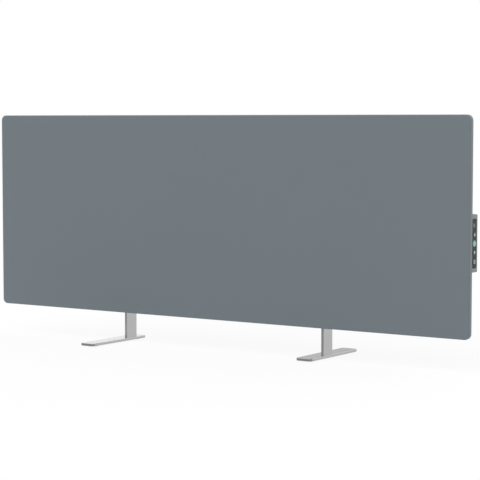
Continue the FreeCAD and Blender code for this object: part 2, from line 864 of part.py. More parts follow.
def build_heat_shield():
    """Hat-shaped sheet that stands off the cover's back wall, and the rivets in its two feet."""
    wide = ("-shield_half", "2 * shield_half")
    height = "shield_top - shield_bottom"
    sheet = "shield_sheet"
    face = block(wide[0], f"shield_back - {sheet}", "shield_bottom", wide[1], sheet, height)
    solids = [face]
    for edge, foot in (
        ("shield_bottom", "shield_bottom - shield_foot"),
        (f"shield_top - {sheet}", f"shield_top - {sheet}"),
    ):
        solids.append(block(wide[0], f"shield_back - {sheet}", edge, wide[1], f"shield_stand + {sheet}", sheet))
        length = f"shield_foot + {sheet}"
        solids.append(block(wide[0], f"cover_inside - {sheet}", foot, wide[1], sheet, length))
    inner = f"cover_inside - {sheet}"
    holes = [rod("y", x, inner, z, "rivet_radius", sheet) for x, z in RIVETS]
    node("heat_shield", trimmed(joined(*solids), *holes))
    rivets = []
    for x, z in RIVETS:
        tail = rod("y", x, f"{inner} - rivet_height", z, "rivet_head", "rivet_height")
        shank = rod("y", x, inner, z, "rivet_radius - thread_fit", f"cover_sheet + {sheet}")
        head = rod("y", x, "cover_back", z, "rivet_head", "rivet_height")
        rivets.append(joined(tail, shank, head))
    group("shield_rivets", rivets)


def build_element():
    """Finned body on a sheathed rod with a terminal pin at each end."""
    fins = Piece("element_fins")
    start = "bracket_left + fin_gap"
    length = "bracket_right - bracket_left - 2 * fin_gap"
    axis = [("element_y", "element_z")]
    fins.studs("YZ", start, axis, "core_radius", length, "+x")
    for turn in (45, -45):
        fin = fins.sketch("YZ", start, x="element_y", y="element_z", turn=turn)
        rectangle(fin, "2 * fin_reach", "fin_thick")
        fins.pad(fin, length, "+x")
    fins.holes("YZ", start, axis, "rod_radius + rod_fit", length, "+x")
    line = ("element_y", "element_z")
    bar = rod("x", "rod_left", *line, "rod_radius", "rod_right - rod_left")
    pin = rod("x", "pin_left", *line, "pin_radius", "pin_right - pin_left")
    node("element_rod", joined(bar, pin))


def build_element_support(side):
    """Bracket on the chassis and the ceramic bush that it holds the rod's end in."""
    left = side == "left"
    plate_x = "bracket_left - bracket_sheet" if left else "bracket_right"
    foot_x = "bracket_left - bracket_foot" if left else "bracket_right"
    low = "element_z - bracket_height / 2"
    plate = block(plate_x, "chassis_back", low, "bracket_sheet", "bracket_depth", "bracket_height")
    foot = block(foot_x, "chassis_back", low, "bracket_foot", "bracket_sheet", "bracket_height")
    line = ("element_y", "element_z")
    seat = rod("x", plate_x, *line, "bush_radius + rod_fit", "bracket_sheet")
    ours = BRACKET_SCREWS[:2] if left else BRACKET_SCREWS[2:]
    holes = [rod("y", x, "chassis_back", z, "medium_radius", "bracket_sheet") for x, z in ours]
    node(f"element_bracket_{side}", trimmed(joined(plate, foot), seat, *holes))
    neck = "(bracket_sheet + bush_neck)"
    neck_x = f"bracket_left - {neck}" if left else "bracket_right"
    collar_x = "bracket_left" if left else "bracket_right - bush_collar"
    tube = rod("x", neck_x, *line, "bush_radius", neck)
    collar = rod("x", collar_x, *line, "bush_flange", "bush_collar")
    low_x = neck_x if left else collar_x
    bore = rod("x", low_x, *line, "rod_radius + rod_fit", f"{neck} + bush_collar")
    node(f"ceramic_bush_{side}", trimmed(joined(tube, collar), bore))


def build_cutout():
    """Thermal cut-out on the chassis, with one terminal for the element and one for the supply."""
    plate_low = ("cutout_x - cutout_half", "chassis_back", "element_z - cutout_width / 2")
    plate = block(*plate_low, "2 * cutout_half", "cutout_plate", "cutout_width")
    top = "chassis_back + cutout_plate"
    case = rod("y", "cutout_x", top, "element_z", "cutout_radius", "cutout_height")
    half = "cutout_tab_width / 2"
    tab = ("cutout_tab", "cutout_tab_width")
    left_tab = block("cutout_x - cutout_reach", "cutout_face", f"element_z - {half}", "cutout_reach", *tab)
    upper_tab = block(f"cutout_x - {half}", "cutout_face", "element_z", tab[1], tab[0], "cutout_reach")
    holes = [rod("y", x, "chassis_back", z, "medium_radius", "cutout_plate") for x, z in CUTOUT_SCREWS]
    node("thermal_cutout", trimmed(joined(plate, case, left_tab, upper_tab), *holes))


def build_earth_tab():
    """Angle on the chassis where the earth wire ends."""
    left = "earth_x - earth_width / 2"
    foot = block(left, "chassis_back", "earth_z - earth_foot", "earth_width", "earth_sheet", "earth_foot")
    low = "earth_z - earth_sheet"
    tongue = block(left, "chassis_back", low, "earth_width", "earth_reach", "earth_sheet")
    hole = rod("y", EARTH_SCREW[0], "chassis_back", EARTH_SCREW[1], "medium_radius", "earth_sheet")
    node("earth_tab", trimmed(joined(foot, tongue), hole))


def build_bracket_screws():
    """Screws of the element's brackets, the cut-out and the earth tab."""
    seats = [(place, "bracket_sheet") for place in BRACKET_SCREWS]
    seats += [(place, "cutout_plate") for place in CUTOUT_SCREWS]
    seats.append((EARTH_SCREW, "earth_sheet"))
    screws = []
    for (x, z), sheet in seats:
        grip = f"{sheet} + chassis_sheet + screw_overrun"
        screws.append(screw("+y", x, f"chassis_back + {sheet}", z, "medium", grip))
    group("bracket_screws", screws)


def build_wires():
    """Supply, neutral and earth wires from the terminal block, and the link to the element."""
    live_z = "conduit_z + wire_ring"
    side = "wire_ring * sqrt(3) / 2"
    low_z = "conduit_z - wire_ring / 2"
    tab_top = "element_z + cutout_reach"
    live = [
        ("terminal_left", "conduit_y", live_z),
        ("cutout_x", "conduit_y", live_z),
        ("cutout_x", "conduit_y", tab_top),
    ]
    bent_tube("live_wire", live, ["wire_bend"])
    link = [("pin_right", "element_y", "element_z"), ("cutout_x - cutout_reach", "element_y", "element_z")]
    bent_tube("link_wire", link, [])
    front_y = f"conduit_y - {side}"
    turn_x = "pin_left - wire_turn - wire_radius"
    neutral = [
        ("terminal_left", front_y, low_z),
        ("cover_end - 2 * conduit_lap", front_y, low_z),
        ("cutout_x", "wire_y", low_z),
        (turn_x, "wire_y", low_z),
        (turn_x, "element_y", "element_z"),
        ("pin_left", "element_y", "element_z"),
    ]
    bent_tube("neutral_wire", neutral, ["wire_sweep", "wire_sweep", "wire_bend", "wire_bend"])
    earth = [
        ("terminal_left", f"conduit_y + {side}", low_z),
        ("earth_x", f"conduit_y + {side}", low_z),
        ("earth_x", f"conduit_y + {side}", "earth_z"),
    ]
    bent_tube("earth_wire", earth, ["wire_bend"])
    clips = []
    for place in ("-clip_half", "-clip_half / 3", "clip_half / 3", "clip_half"):
        x = f"{place} - clip_length / 2"
        depth = "wire_stand + wire_radius + clip_wall"
        clip = block(x, "chassis_back", f"{low_z} - clip_height / 2", "clip_length", depth, "clip_height")
        hole = rod("x", x, "wire_y", low_z, "wire_radius + clip_fit", "clip_length")
        clips.append(trimmed(clip, hole))
    group("wire_clips", clips)


def build_conduit():
    """Rubber sleeve for the wires between the rear cover and the control housing."""
    line = ("conduit_y", "conduit_z")
    start = "cover_end - conduit_lap"
    length = f"housing_left + housing_wall + conduit_lap - ({start})"
    tube = rod("x", start, *line, "conduit_radius", length)
    collar = rod("x", "cover_half", *line, "conduit_collar", "conduit_gap")
    bore = rod("x", start, *line, "conduit_bore", length)
    node("wire_conduit", trimmed(joined(tube, collar), bore))


def build_control_housing():
    """Open tray at the panel's right-hand edge, with a recess in its side for the key strip."""
    housing = Piece("control_housing")
    centre_x = "(housing_left + housing_right) / 2"
    outline = housing.sketch("XZ", "chassis_back", x=centre_x, y="housing_middle")
    rectangle(outline, "housing_width", "housing_height", "housing_corner")
    housing.pad(outline, "housing_depth", "+y")
    hollow_x = "(housing_left + housing_wall + key_wall_inside) / 2"
    hollow = housing.sketch("XZ", "housing_rim", x=hollow_x, y="housing_middle")
    rectangle(hollow, "housing_width - housing_wall - key_wall", "2 * housing_inner")
    housing.pocket(hollow, "housing_depth - housing_wall", "-y")
    recess = housing.sketch("YZ", "housing_right", x="strip_y", y="housing_middle")
    rectangle(recess, "strip_width", "strip_height", "strip_corner")
    housing.pocket(recess, "strip_recess", "-x")
    window = housing.sketch("YZ", "strip_seat", x="strip_y", y="housing_middle")
    rectangle(window, "strip_width - 2 * strip_ledge", "strip_height - 2 * strip_ledge")
    housing.pocket(window, "key_wall - strip_recess", "-x")
    bosses = housing.sketch("YZ", "key_board_face", x="strip_y", y="housing_middle")
    height = "key_boss + housing_wall / 2"
    for side in ("-", "+"):
        middle = f"{side}(housing_inner + housing_wall / 4 - key_boss / 2)"
        rectangle(bosses, "key_boss_width", height, y=middle)
    housing.pad(bosses, "key_wall_inside - key_board_face", "+x")
    depth = "key_wall_inside - key_board_face"
    housing.holes("YZ", "key_board_face", KEY_SCREWS, "small_radius", depth, "+x")
    housing.studs("XZ", "housing_floor", POWER_SCREWS, "board_post", "board_stand", "+y")
    housing.holes("XZ", "power_seat", POWER_SCREWS, "small_radius", "board_stand", "-y")
    posts = "housing_rim - housing_floor"
    housing.studs("XZ", "housing_floor", LID_SCREWS, "lid_post", posts, "+y")
    housing.holes("XZ", "housing_rim", LID_SCREWS, "small_radius", f"({posts}) / 2", "-y")
    housing.holes("XZ", "housing_floor", HOUSING_SCREWS, "medium_radius", "housing_wall", "-y")
    cable = [("cable_x", "cable_y")]
    housing.holes("XY", "housing_bottom", cable, "cable_neck + cable_fit", "housing_wall", "+z")
    sensor = [("sensor_x", "cable_y")]
    housing.holes("XY", "housing_bottom", sensor, "sensor_radius + cable_fit", "housing_wall", "+z")
    conduit = [("conduit_y", "conduit_z")]
    housing.holes("YZ", "housing_left", conduit, "conduit_radius + conduit_fit", "housing_wall", "+x")


def build_control_lid():
    """Rear lid with soft edges and sunk screws."""
    lid = Piece("control_lid")
    centre_x = "(housing_left + housing_right) / 2"
    outline = lid.sketch("XZ", "housing_rim", x=centre_x, y="housing_middle")
    rectangle(outline, "housing_width", "housing_height", "housing_corner")
    lid.pad(outline, "lid_thick", "+y")
    back = "housing_rim + lid_thick"
    lid.fillet("lid_edge", "y", back)
    lid.holes("XZ", "housing_rim", LID_SCREWS, "small_radius", "lid_thick", "+y")
    lid.holes("XZ", back, LID_SCREWS, "small_head + strip_fit", "lid_sink", "-y")


def build_key_strip():
    """Dark strip in the housing's side, with holes for the buttons and the lens."""
    strip = Piece("key_strip")
    outline = strip.sketch("YZ", "strip_seat", x="strip_y", y="housing_middle")
    size = ("strip_width - 2 * strip_fit", "strip_height - 2 * strip_fit", "strip_corner - strip_fit")
    rectangle(outline, *size)
    strip.pad(outline, "strip_sheet", "+x")
    for name, step in BUTTONS.items():
        radius, flange = key_sizes(name)
        strip.holes("YZ", "strip_seat", [("strip_y", key_z(step))], f"{radius} + key_fit", "strip_sheet", "+x")
    lens = [("strip_y", key_z(LENS_STEP))]
    strip.holes("YZ", "strip_seat", lens, "lens_radius + key_fit", "strip_sheet", "+x")


def key_sizes(name):
    """Names of the cap's radius and the flange's radius. The power button is the larger one."""
    if name == "power":
        return "power_key_radius", "power_flange_radius"
    return "key_radius", "key_flange_radius"


def build_button(name, step):
    """Push button with a flange behind the strip, and the switch plunger that it presses."""
    button = Piece(f"{name}_button")
    centre = [("strip_y", key_z(step))]
    seat = "strip_seat - key_rest_gap"
    reach = "strip_sheet + key_rest_gap + key_proud"
    radius, flange = key_sizes(name)
    button.studs("YZ", seat, centre, radius, reach, "+x")
    button.fillet("key_edge", "x", "strip_face + key_proud")
    button.studs("YZ", seat, centre, flange, "key_flange", "-x")
    button.studs("YZ", "key_back", centre, "key_stem", "key_back - plunger_top", "-x")
    low = "plunger_top - plunger_length"
    plunger = rod("x", low, "strip_y", key_z(step), "plunger_radius", "plunger_length")
    node(f"{name}_plunger", plunger)


def build_lens():
    """Light pipe from a lamp on the board to the face of the strip."""
    line = ("strip_y", key_z(LENS_STEP))
    start = "key_board_face + lamp_height + lens_gap"
    pipe = rod("x", start, *line, "lens_radius", f"strip_face - ({start})")
    flange = rod("x", "strip_seat - key_flange", *line, "lens_flange_radius", "key_flange")
    node("indicator_lens", joined(pipe, flange))


def build_key_board():
    """Board behind the strip with its switches, lamps and screws."""
    low = ("key_board_back", "strip_y - key_board_width / 2", "housing_middle - housing_inner + board_fit")
    board = block(*low, "board_sheet", "key_board_width", "2 * (housing_inner - board_fit)")
    holes = [rod("x", "key_board_back", y, z, "small_radius", "board_sheet") for y, z in KEY_SCREWS]
    node("key_board", trimmed(board, *holes))
    screws = [screw("-x", "key_board_back", y, z, "small", "small_length") for y, z in KEY_SCREWS]
    group("key_board_screws", screws)
    switches = []
    sink = "plunger_length - plunger_proud + key_travel + plunger_clear"
    for step in BUTTONS.values():
        corner = ("key_board_face", "strip_y - switch_side / 2", f"{key_z(step)} - switch_side / 2")
        case = block(*corner, "switch_height", "switch_side", "switch_side")
        mouth = f"key_board_face + switch_height - ({sink})"
        well = rod("x", mouth, "strip_y", key_z(step), "plunger_radius + plunger_fit", sink)
        switches.append(trimmed(case, well))
    group("key_switches", switches)
    half = "lamp_side / 2"
    size = ("lamp_height", "lamp_side", "lamp_side")
    lens_lamp = block("key_board_face", f"strip_y - {half}", f"{key_z(LENS_STEP)} - {half}", *size)
    power_z = key_z(BUTTONS["power"])
    power_lamp = block("key_board_face", f"strip_y + lamp_offset - {half}", f"{power_z} - {half}", *size)
    group("key_lamps", [lens_lamp, power_lamp])


def build_power_board():
    """Board on the housing's floor with the relay, supply module and terminal block."""
    low = ("power_left", "power_seat", "housing_middle - power_height / 2")
    board = block(*low, "power_width", "board_sheet", "power_height")
    holes = [rod("y", x, "power_seat", z, "small_radius", "board_sheet") for x, z in POWER_SCREWS]
    node("power_board", trimmed(board, *holes))
    screws = [screw("+y", x, "power_face", z, "small", "small_length") for x, z in POWER_SCREWS]
    group("power_board_screws", screws)
    corner = ("terminal_left", "power_face", "conduit_z - terminal_height / 2")
    node("terminal_block", block(*corner, "terminal_length", "terminal_depth", "terminal_height"))
    corner = ("relay_left", "power_face", "housing_middle - relay_height / 2")
    node("relay", block(*corner, "relay_length", "relay_depth", "relay_height"))
    corner = ("power_left + supply_inset", "power_face", "housing_middle + supply_rise")
    length = "power_width - 2 * supply_inset"
    node("supply_module", block(*corner, length, "supply_depth", "supply_height"))


def build_tilt_switch():
    """Case on the power board, open to one side, with a pendulum on a cross pin."""
    low = ("tilt_x", "power_face", "tilt_top - tilt_height")
    case = block(*low, "tilt_length", "tilt_depth", "tilt_height")
    room = ("tilt_depth - 2 * tilt_wall", "tilt_height - 2 * tilt_wall")
    inner = ("tilt_x + tilt_wall", "power_face + tilt_wall", "tilt_top - tilt_height + tilt_wall")
    cavity = block(*inner, "tilt_length", *room)
    pivot = ("tilt_pivot_y", "tilt_pivot_z")
    pin = rod("x", "tilt_x", *pivot, "tilt_pin", "tilt_wall + 2 * tilt_gap + tilt_bob_length")
    node("tilt_case", joined(trimmed(case, cavity), pin))
    start = "tilt_x + tilt_wall + tilt_gap"
    eye = rod("x", start, *pivot, "tilt_eye", "tilt_bob_length")
    arm_y = "tilt_pivot_y - tilt_arm_width / 2"
    arm = block(start, arm_y, "tilt_pivot_z - tilt_arm", "tilt_bob_length", "tilt_arm_width", "tilt_arm")
    bob = rod("x", start, "tilt_pivot_y", "tilt_pivot_z - tilt_arm", "tilt_bob", "tilt_bob_length")
    bore = rod("x", start, *pivot, "tilt_pin + tilt_pin_fit", "tilt_bob_length")
    node("tilt_pendulum", trimmed(joined(eye, arm, bob), bore))


def build_housing_fittings():
    """Bush for the mains cord and the room sensor, both in the housing's bottom wall."""
    at = ("cable_x", "cable_y")
    low = "housing_bottom - cable_flange_height"
    flange = rod("z", *at, low, "cable_flange", "cable_flange_height")
    neck = rod("z", *at, "housing_bottom", "cable_neck", "housing_wall")
    lip = rod("z", *at, "housing_bottom + housing_wall", "cable_lip", "cable_lip_height")
    length = "cable_flange_height + housing_wall + cable_lip_height"
    node("cable_bush", trimmed(joined(flange, neck, lip), rod("z", *at, low, "cable_bore", length)))
    at = ("sensor_x", "cable_y")
    length = "sensor_drop + housing_wall + sensor_rise"
    probe = rod("z", *at, "housing_bottom - sensor_drop", "sensor_radius", length)
    height = "sensor_flange_height"
    collar = rod("z", *at, f"housing_bottom - {height}", "sensor_flange", height)
    node("room_sensor", joined(probe, collar))


def build_panel_screws():
    """Screws that hold the chassis, the cover, the housing and the lid."""
    length = "chassis_sheet + chassis_front - panel_inside - standoff_floor - hole_overrun"
    group("chassis_screws", [screw("+y", x, "chassis_back", z, "large", length) for x, z in STANDOFFS])
    seat = "chassis_back + cover_sheet"
    length = "cover_sheet + chassis_sheet + screw_overrun"
    group("cover_screws", [screw("+y", x, seat, z, "large", length) for x, z in COVER_SCREWS])
    length = "housing_wall + chassis_sheet + screw_overrun"
    screws = [screw("+y", x, "housing_floor", z, "medium", length) for x, z in HOUSING_SCREWS]
    group("housing_screws", screws)
    seat = "housing_rim + lid_thick - lid_sink"
    length = "lid_thick - lid_sink + small_length"
    group("lid_screws", [screw("+y", x, seat, z, "small", length) for x, z in LID_SCREWS])


def build_foot_post(side):
    """Flat post with a flange bent over at its top, screwed under the rear cover."""
    post = Piece(f"foot_post_{side}")
    middle = f"{side}_post"
    half = "post_thick / 2"
    profile = post.sketch("XZ", "post_y - post_width / 2", x=middle)
    points = [
        (f"-{half}", "bar_top"),
        (half, "bar_top"),
        (half, "cover_bottom"),
        (f"{half} - post_flange", "cover_bottom"),
        (f"{half} - post_flange", "cover_bottom - post_thick"),
        (f"-{half}", "cover_bottom - post_thick"),
    ]
    polygon(profile, points)
    post.pad(profile, "post_width", "+y")

    def bend(x, z):
        at = (value(f"{middle} + {x}"), value(z))
        return lambda edge: lies_at(edge, "x", at[0]) and lies_at(edge, "z", at[1])

    post.round_edges("post_bend", bend(f"(-{half})", "cover_bottom - post_thick"))
    post.round_edges("post_bend + post_thick", bend(half, "cover_bottom"))

    def upright(edge):
        vertical = abs(edge.tangentAt(edge.FirstParameter).z) > 0.999
        faces = (value(f"{middle} - {half}"), value(f"{middle} + {half}"))
        return vertical and any(lies_at(edge, "x", face) for face in faces)

    post.round_edges("post_edge", upright)
    level = "cover_bottom - post_thick"
    post.holes("XY", level, post_screws(middle), "heavy_radius", "post_thick", "+z")
    tapped = [(middle, f"post_y {end} bar_screw") for end in ("-", "+")]
    post.holes("XY", "bar_top", tapped, "medium_radius", "bar_screw_grip + hole_overrun", "+z")


def build_foot_bar(side):
    """Flat bar with round corners and two pairs of counterbored holes, to set it fore or aft."""
    bar = Piece(f"foot_bar_{side}")
    x = f"{side}_post"
    y = BAR_MIDDLES[side]
    outline = bar.sketch("XY", "pad_thick", x=f"{x} + bar_offset", y=y)
    rectangle(outline, "bar_width", "bar_length", "bar_corner")
    bar.pad(outline, "bar_thick", "+z")
    bar.fillet("bar_edge", "z", "bar_top")
    holes = [
        (x, f"{y} {pair} {end} bar_screw")
        for pair in ("- bar_aft", "+ bar_fore")
        for end in ("-", "+")
    ]
    bar.holes("XY", "pad_thick", holes, "medium_radius", "bar_thick", "+z")
    bar.holes("XY", "pad_thick", holes, "bar_counterbore_radius", "bar_counterbore", "+z")


def build_foot_fittings():
    """Pads under the bars, nut plates in the cover and the feet's screws."""
    pads = []
    bar_screws = []
    for side, y in BAR_MIDDLES.items():
        post = f"{side}_post"
        for end in ("-", "+"):
            pad_y = f"{y} {end} (bar_length / 2 - pad_end)"
            pads.append(rod("z", f"{post} + bar_offset", pad_y, "0", "pad_radius", "pad_thick"))
            length = "bar_thick - bar_counterbore + bar_screw_grip"
            seat = (post, f"post_y {end} bar_screw", "pad_thick + bar_counterbore")
            bar_screws.append(screw("-z", *seat, "medium", length))
    group("foot_pads", pads)
    group("bar_screws", bar_screws)
    plates = []
    screws = []
    floor = "cover_bottom + cover_sheet"
    for post in ("left_post", "right_post"):
        left = f"{post} - post_thick / 2 - post_screw_far - nut_edge"
        length = "post_screw_far - post_screw_near + 2 * nut_edge"
        plate = block(left, "post_y - nut_width / 2", floor, length, "nut_width", "nut_sheet")
        places = post_screws(post)
        holes = [rod("z", x, y, floor, "heavy_radius", "nut_sheet") for x, y in places]
        plates.append(trimmed(plate, *holes))
        grip = "post_thick + cover_sheet + nut_sheet + heavy_overrun"
        seat = "cover_bottom - post_thick"
        screws += [screw("-z", x, y, seat, "heavy", grip) for x, y in places]
    group("post_nut_plates", plates)
    group("post_screws", screws)


def build_all():
    build_front_panel()
    build_chassis_plate()
    build_rear_cover()
    build_grilles()
    build_heat_shield()
    build_element()
    for side in ("left", "right"):
        build_element_support(side)
    build_cutout()
    build_earth_tab()
    build_bracket_screws()
    build_wires()
    build_conduit()
    build_control_housing()
    build_control_lid()
    build_key_strip()
    for name, step in BUTTONS.items():
        build_button(name, step)
    build_lens()
    build_key_board()
    build_power_board()
    build_tilt_switch()
    build_housing_fittings()
    build_panel_screws()
    for side in ("left", "right"):
        build_foot_post(side)
        build_foot_bar(side)
    build_foot_fittings()
    doc.recompute()


def check_all():
    """Stop on any object that failed and on any piece with no sound solid."""
    for thing in doc.Objects:
        if {"Invalid", "Error"} & set(thing.State):
            raise RuntimeError(f"{thing.Label} failed: {thing.State}")
    for piece in NODES:
        shape = piece.Shape
        if shape.isNull() or not shape.isValid() or not shape.Solids:
            raise RuntimeError(f"{piece.Label} has no valid solid")


build_all()
check_all()
os.makedirs("parts", exist_ok=True)
for piece in NODES:
    piece.Shape.exportStep(os.path.join("parts", f"{piece.Label}.step"))
print(f"{len(NODES)} pieces written")
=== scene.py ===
"""Finishes, small trim and a plain studio for a panel convector heater on two feet."""

import math
from typing import NamedTuple

import bmesh
import bpy
from mathutils import Matrix, Vector


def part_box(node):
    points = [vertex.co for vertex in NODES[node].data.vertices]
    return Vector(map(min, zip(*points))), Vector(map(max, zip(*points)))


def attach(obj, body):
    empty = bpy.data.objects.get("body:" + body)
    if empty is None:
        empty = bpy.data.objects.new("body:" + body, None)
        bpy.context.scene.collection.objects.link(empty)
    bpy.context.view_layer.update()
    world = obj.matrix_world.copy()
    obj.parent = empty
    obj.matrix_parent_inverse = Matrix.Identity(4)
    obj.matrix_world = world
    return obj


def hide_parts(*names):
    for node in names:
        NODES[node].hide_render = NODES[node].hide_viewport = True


bl_info = {
    "name": "Panel convector heater",
    "version": (1, 0, 0),
    "blender": (4, 5, 0),
    "location": "3D View > Sidebar > Heater",
    "description": "Dresses a packed panel heater with finishes, key marks, fasteners and a studio",
    "category": "Object",
}

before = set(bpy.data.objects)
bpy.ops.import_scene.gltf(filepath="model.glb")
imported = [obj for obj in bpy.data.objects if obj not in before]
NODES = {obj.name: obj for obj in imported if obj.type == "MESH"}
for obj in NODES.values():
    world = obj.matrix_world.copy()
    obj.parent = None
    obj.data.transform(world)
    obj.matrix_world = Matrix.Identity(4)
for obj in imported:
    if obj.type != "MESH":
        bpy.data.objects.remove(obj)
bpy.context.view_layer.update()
MM = 0.001
BODY = "heater"

# Gaps that part the solids of one node from each other
GRILLE_GAP = 30 * MM
FASTENER_GAP = 6 * MM
PAD_GAP = 15 * MM
NEIGHBOURS = [
    (x, y, z) for x in (-1, 0, 1) for y in (-1, 0, 1) for z in (-1, 0, 1) if (x, y, z) != (0, 0, 0)
]

# Grilles, in the slots' plane
GRILLE_LAP = 3 * MM
SLOT_MARGIN = 1.5 * MM
ROUNDING = 1e-6
RIM_SIDES = 6
RIM_CORNER_STEPS = 2

# Grip rings of the foot pads
RING_RADII = (3.2 * MM, 6.2 * MM, 9.2 * MM)
RING_SIDES = 8
RING_STEPS = 32

# Marks on the keys
POWER_GAP = math.radians(70)
POWER_STEPS = 32
CLOCK_STEPS = 40
CLOCK_LINE = 0.8

# Turned fasteners
SHARP_EDGE = math.radians(35)
SCREW_STEPS = 24
SOCKET_SIDES = 6
RIVET_STEPS = 20
DEPTH, HEIGHT = 1, 2
HEAD_TURNS = {DEPTH: (-math.pi / 2, 0, 0), HEIGHT: (math.pi, 0, 0)}


class Screw(NamedTuple):
    """Radii and head height of a kind of screw, and its axis."""

    head: float
    height: float
    socket: float
    shank: float
    axis: int


SCREWS = {
    "cover_screws": Screw(3.6 * MM, 2.4 * MM, 1.8 * MM, 1.95 * MM, DEPTH),
    "chassis_screws": Screw(3.6 * MM, 2.4 * MM, 1.8 * MM, 1.95 * MM, DEPTH),
    "lid_screws": Screw(2.2 * MM, 1.4 * MM, 1.1 * MM, 1.2 * MM, DEPTH),
    "post_screws": Screw(4.5 * MM, 3.0 * MM, 2.4 * MM, 2.45 * MM, HEIGHT),
    "bar_screws": Screw(2.75 * MM, 1.8 * MM, 1.4 * MM, 1.45 * MM, HEIGHT),
}

# Stage
WHITE = (1, 1, 1, 1)
FLOOR_RADIUS = 30
FLOOR_SIDES = 96
FLOOR_PAPER = (0.86, 0.86, 0.86, 1)
FLOOR_GLOW = 1.03
GLOW_SHARE = 0.84
FLOOR_SLANT = 0.14
FLOOR_SHADES = ((0.41, 0.4), (0.445, 1))
ROOM_SHADES = (
    (0.0, 0.8), (0.1, 0.4), (0.2, 0.3), (0.27, 0.55), (0.32, 0.95),
    (0.36, 0.95), (0.41, 0.4), (0.47, 0.5), (0.56, 0.95), (0.7, 1.0),
    (0.79, 0.7), (0.838, 0.7), (0.86, 1.35), (0.9, 1.3), (1.0, 0.8),
)
LAMP_SPREAD = math.radians(75)
KEY_SIDE = (-0.25, -0.6, 0.76)
BACK_SIDE = (0.35, 0.75, 0.56)
SENSOR_WIDTH = 36
VIEW_LIMIT = 100


# Shader graphs

class Value:
    """A socket that takes part in sums."""

    def __init__(self, graph, socket):
        self.graph = graph
        self.socket = socket

    def __add__(self, other):
        return self.graph.sum("ADD", self, other)

    __radd__ = __add__

    def __sub__(self, other):
        return self.graph.sum("SUBTRACT", self, other)

    def __rsub__(self, other):
        return self.graph.sum("SUBTRACT", other, self)

    def __mul__(self, other):
        return self.graph.sum("MULTIPLY", self, other)

    __rmul__ = __mul__


class Graph:
    """The node tree of one material or of the world."""

    def __init__(self, owner):
        owner.use_nodes = True
        self.tree = owner.node_tree
        self.tree.nodes.clear()

    def node(self, kind, settings=None, inputs=None, output=0):
        """Add a node, set it up, feed its sockets and hand back one of its outputs."""
        node = self.tree.nodes.new("ShaderNode" + kind)
        for name, setting in (settings or {}).items():
            if name == "stops":
                self.set_stops(node.color_ramp, setting)
            else:
                setattr(node, name, setting)
        for key, value in (inputs or {}).items():
            if isinstance(value, Value):
                self.tree.links.new(value.socket, node.inputs[key])
            else:
                node.inputs[key].default_value = value
        if node.outputs:
            return Value(self, node.outputs[output])
        return None

    @staticmethod
    def set_stops(ramp, stops):
        """Give a ramp its places and colours."""
        while len(ramp.elements) < len(stops):
            ramp.elements.new(1)
        for element, (place, colour) in zip(ramp.elements, stops):
            element.position = place
            element.color = colour

    def sum(self, operation, first, second):
        """One Math node."""
        return self.node("Math", {"operation": operation}, {0: first, 1: second})

    def mix(self, factor, first, second):
        """A colour between two colours."""
        return self.node("Mix", {"data_type": "RGBA"}, {0: factor, 6: first, 7: second}, 2)

    def shades(self, pattern, colour, dark, light):
        """One colour, darker where a pattern is low and lighter where it is high."""
        return self.mix(pattern, tone(colour, dark), tone(colour, light))

    def greys(self, factor, stops):
        """A grey that follows a factor from stop to stop."""
        colours = [(place, (shade, shade, shade, 1)) for place, shade in stops]
        return self.node("ValToRGB", {"stops": colours}, {"Fac": factor})

    def lightness(self, colour):
        """How light a colour is, as a number."""
        return self.node("RGBToBW", None, {"Color": colour})

    def coordinates(self, scale=(1, 1, 1), turn=(0, 0, 0)):
        """Places on the piece in metres, stretched and turned."""
        point = self.node("TexCoord", output="Object")
        if scale == (1, 1, 1) and turn == (0, 0, 0):
            return point
        return self.node("Mapping", None, {"Vector": point, "Scale": scale, "Rotation": turn})

    def plan(self, vector):
        """How far a vector goes across and in depth."""
        across = self.node("SeparateXYZ", None, {"Vector": vector})
        return across, Value(self, across.socket.node.outputs["Y"])

    def ray(self, kind):
        """One for rays of a kind, and zero for the others."""
        return self.node("LightPath", output=f"Is {kind} Ray")

    def noise(self, vector, scale, detail=2.0, roughness=0.5):
        """A cloudy pattern around one half."""
        inputs = {"Vector": vector, "Scale": scale, "Detail": detail, "Roughness": roughness}
        return self.node("TexNoise", None, inputs)

    def bump(self, height, strength, depth):
        """A fine relief."""
        return self.node("Bump", None, {"Height": height, "Strength": strength, "Distance": depth})

    def surface(self, **inputs):
        """End a material in one Principled shader."""
        named = {key.replace("_", " ").title().replace("Ior", "IOR"): value for key, value in inputs.items()}
        shader = self.node("BsdfPrincipled", None, named)
        self.node("OutputMaterial", None, {"Surface": shader})


def tone(colour, factor):
    """A lighter or darker colour, with alpha."""
    return tuple(min(1.0, part * factor) for part in colour[:3]) + (1.0,)


def stretch(along, share):
    """Scales that draw a pattern out along one axis."""
    return tuple(share if axis == along else 1.0 for axis in "xyz")


def new_material(name):
    """An empty material and its graph."""
    material = bpy.data.materials.new(name)
    return material, Graph(material)


# Finishes

def powder_coat(name, colour, roughness=0.42):
    """Matt coat with a fine orange-peel skin and a faint cloudiness."""
    material, graph = new_material(name)
    place = graph.coordinates()
    skin = graph.noise(place, scale=1500, detail=3)
    cloud = graph.noise(place, scale=5)
    base = graph.shades(cloud, colour, 0.975, 1.025)
    speck = graph.shades(skin, colour, 0.96, 1.04)
    graph.surface(
        base_color=graph.mix(0.4, base, speck),
        roughness=roughness + (skin - 0.5) * 0.16,
        normal=graph.bump(skin, strength=0.12, depth=0.12 * MM),
    )
    return material


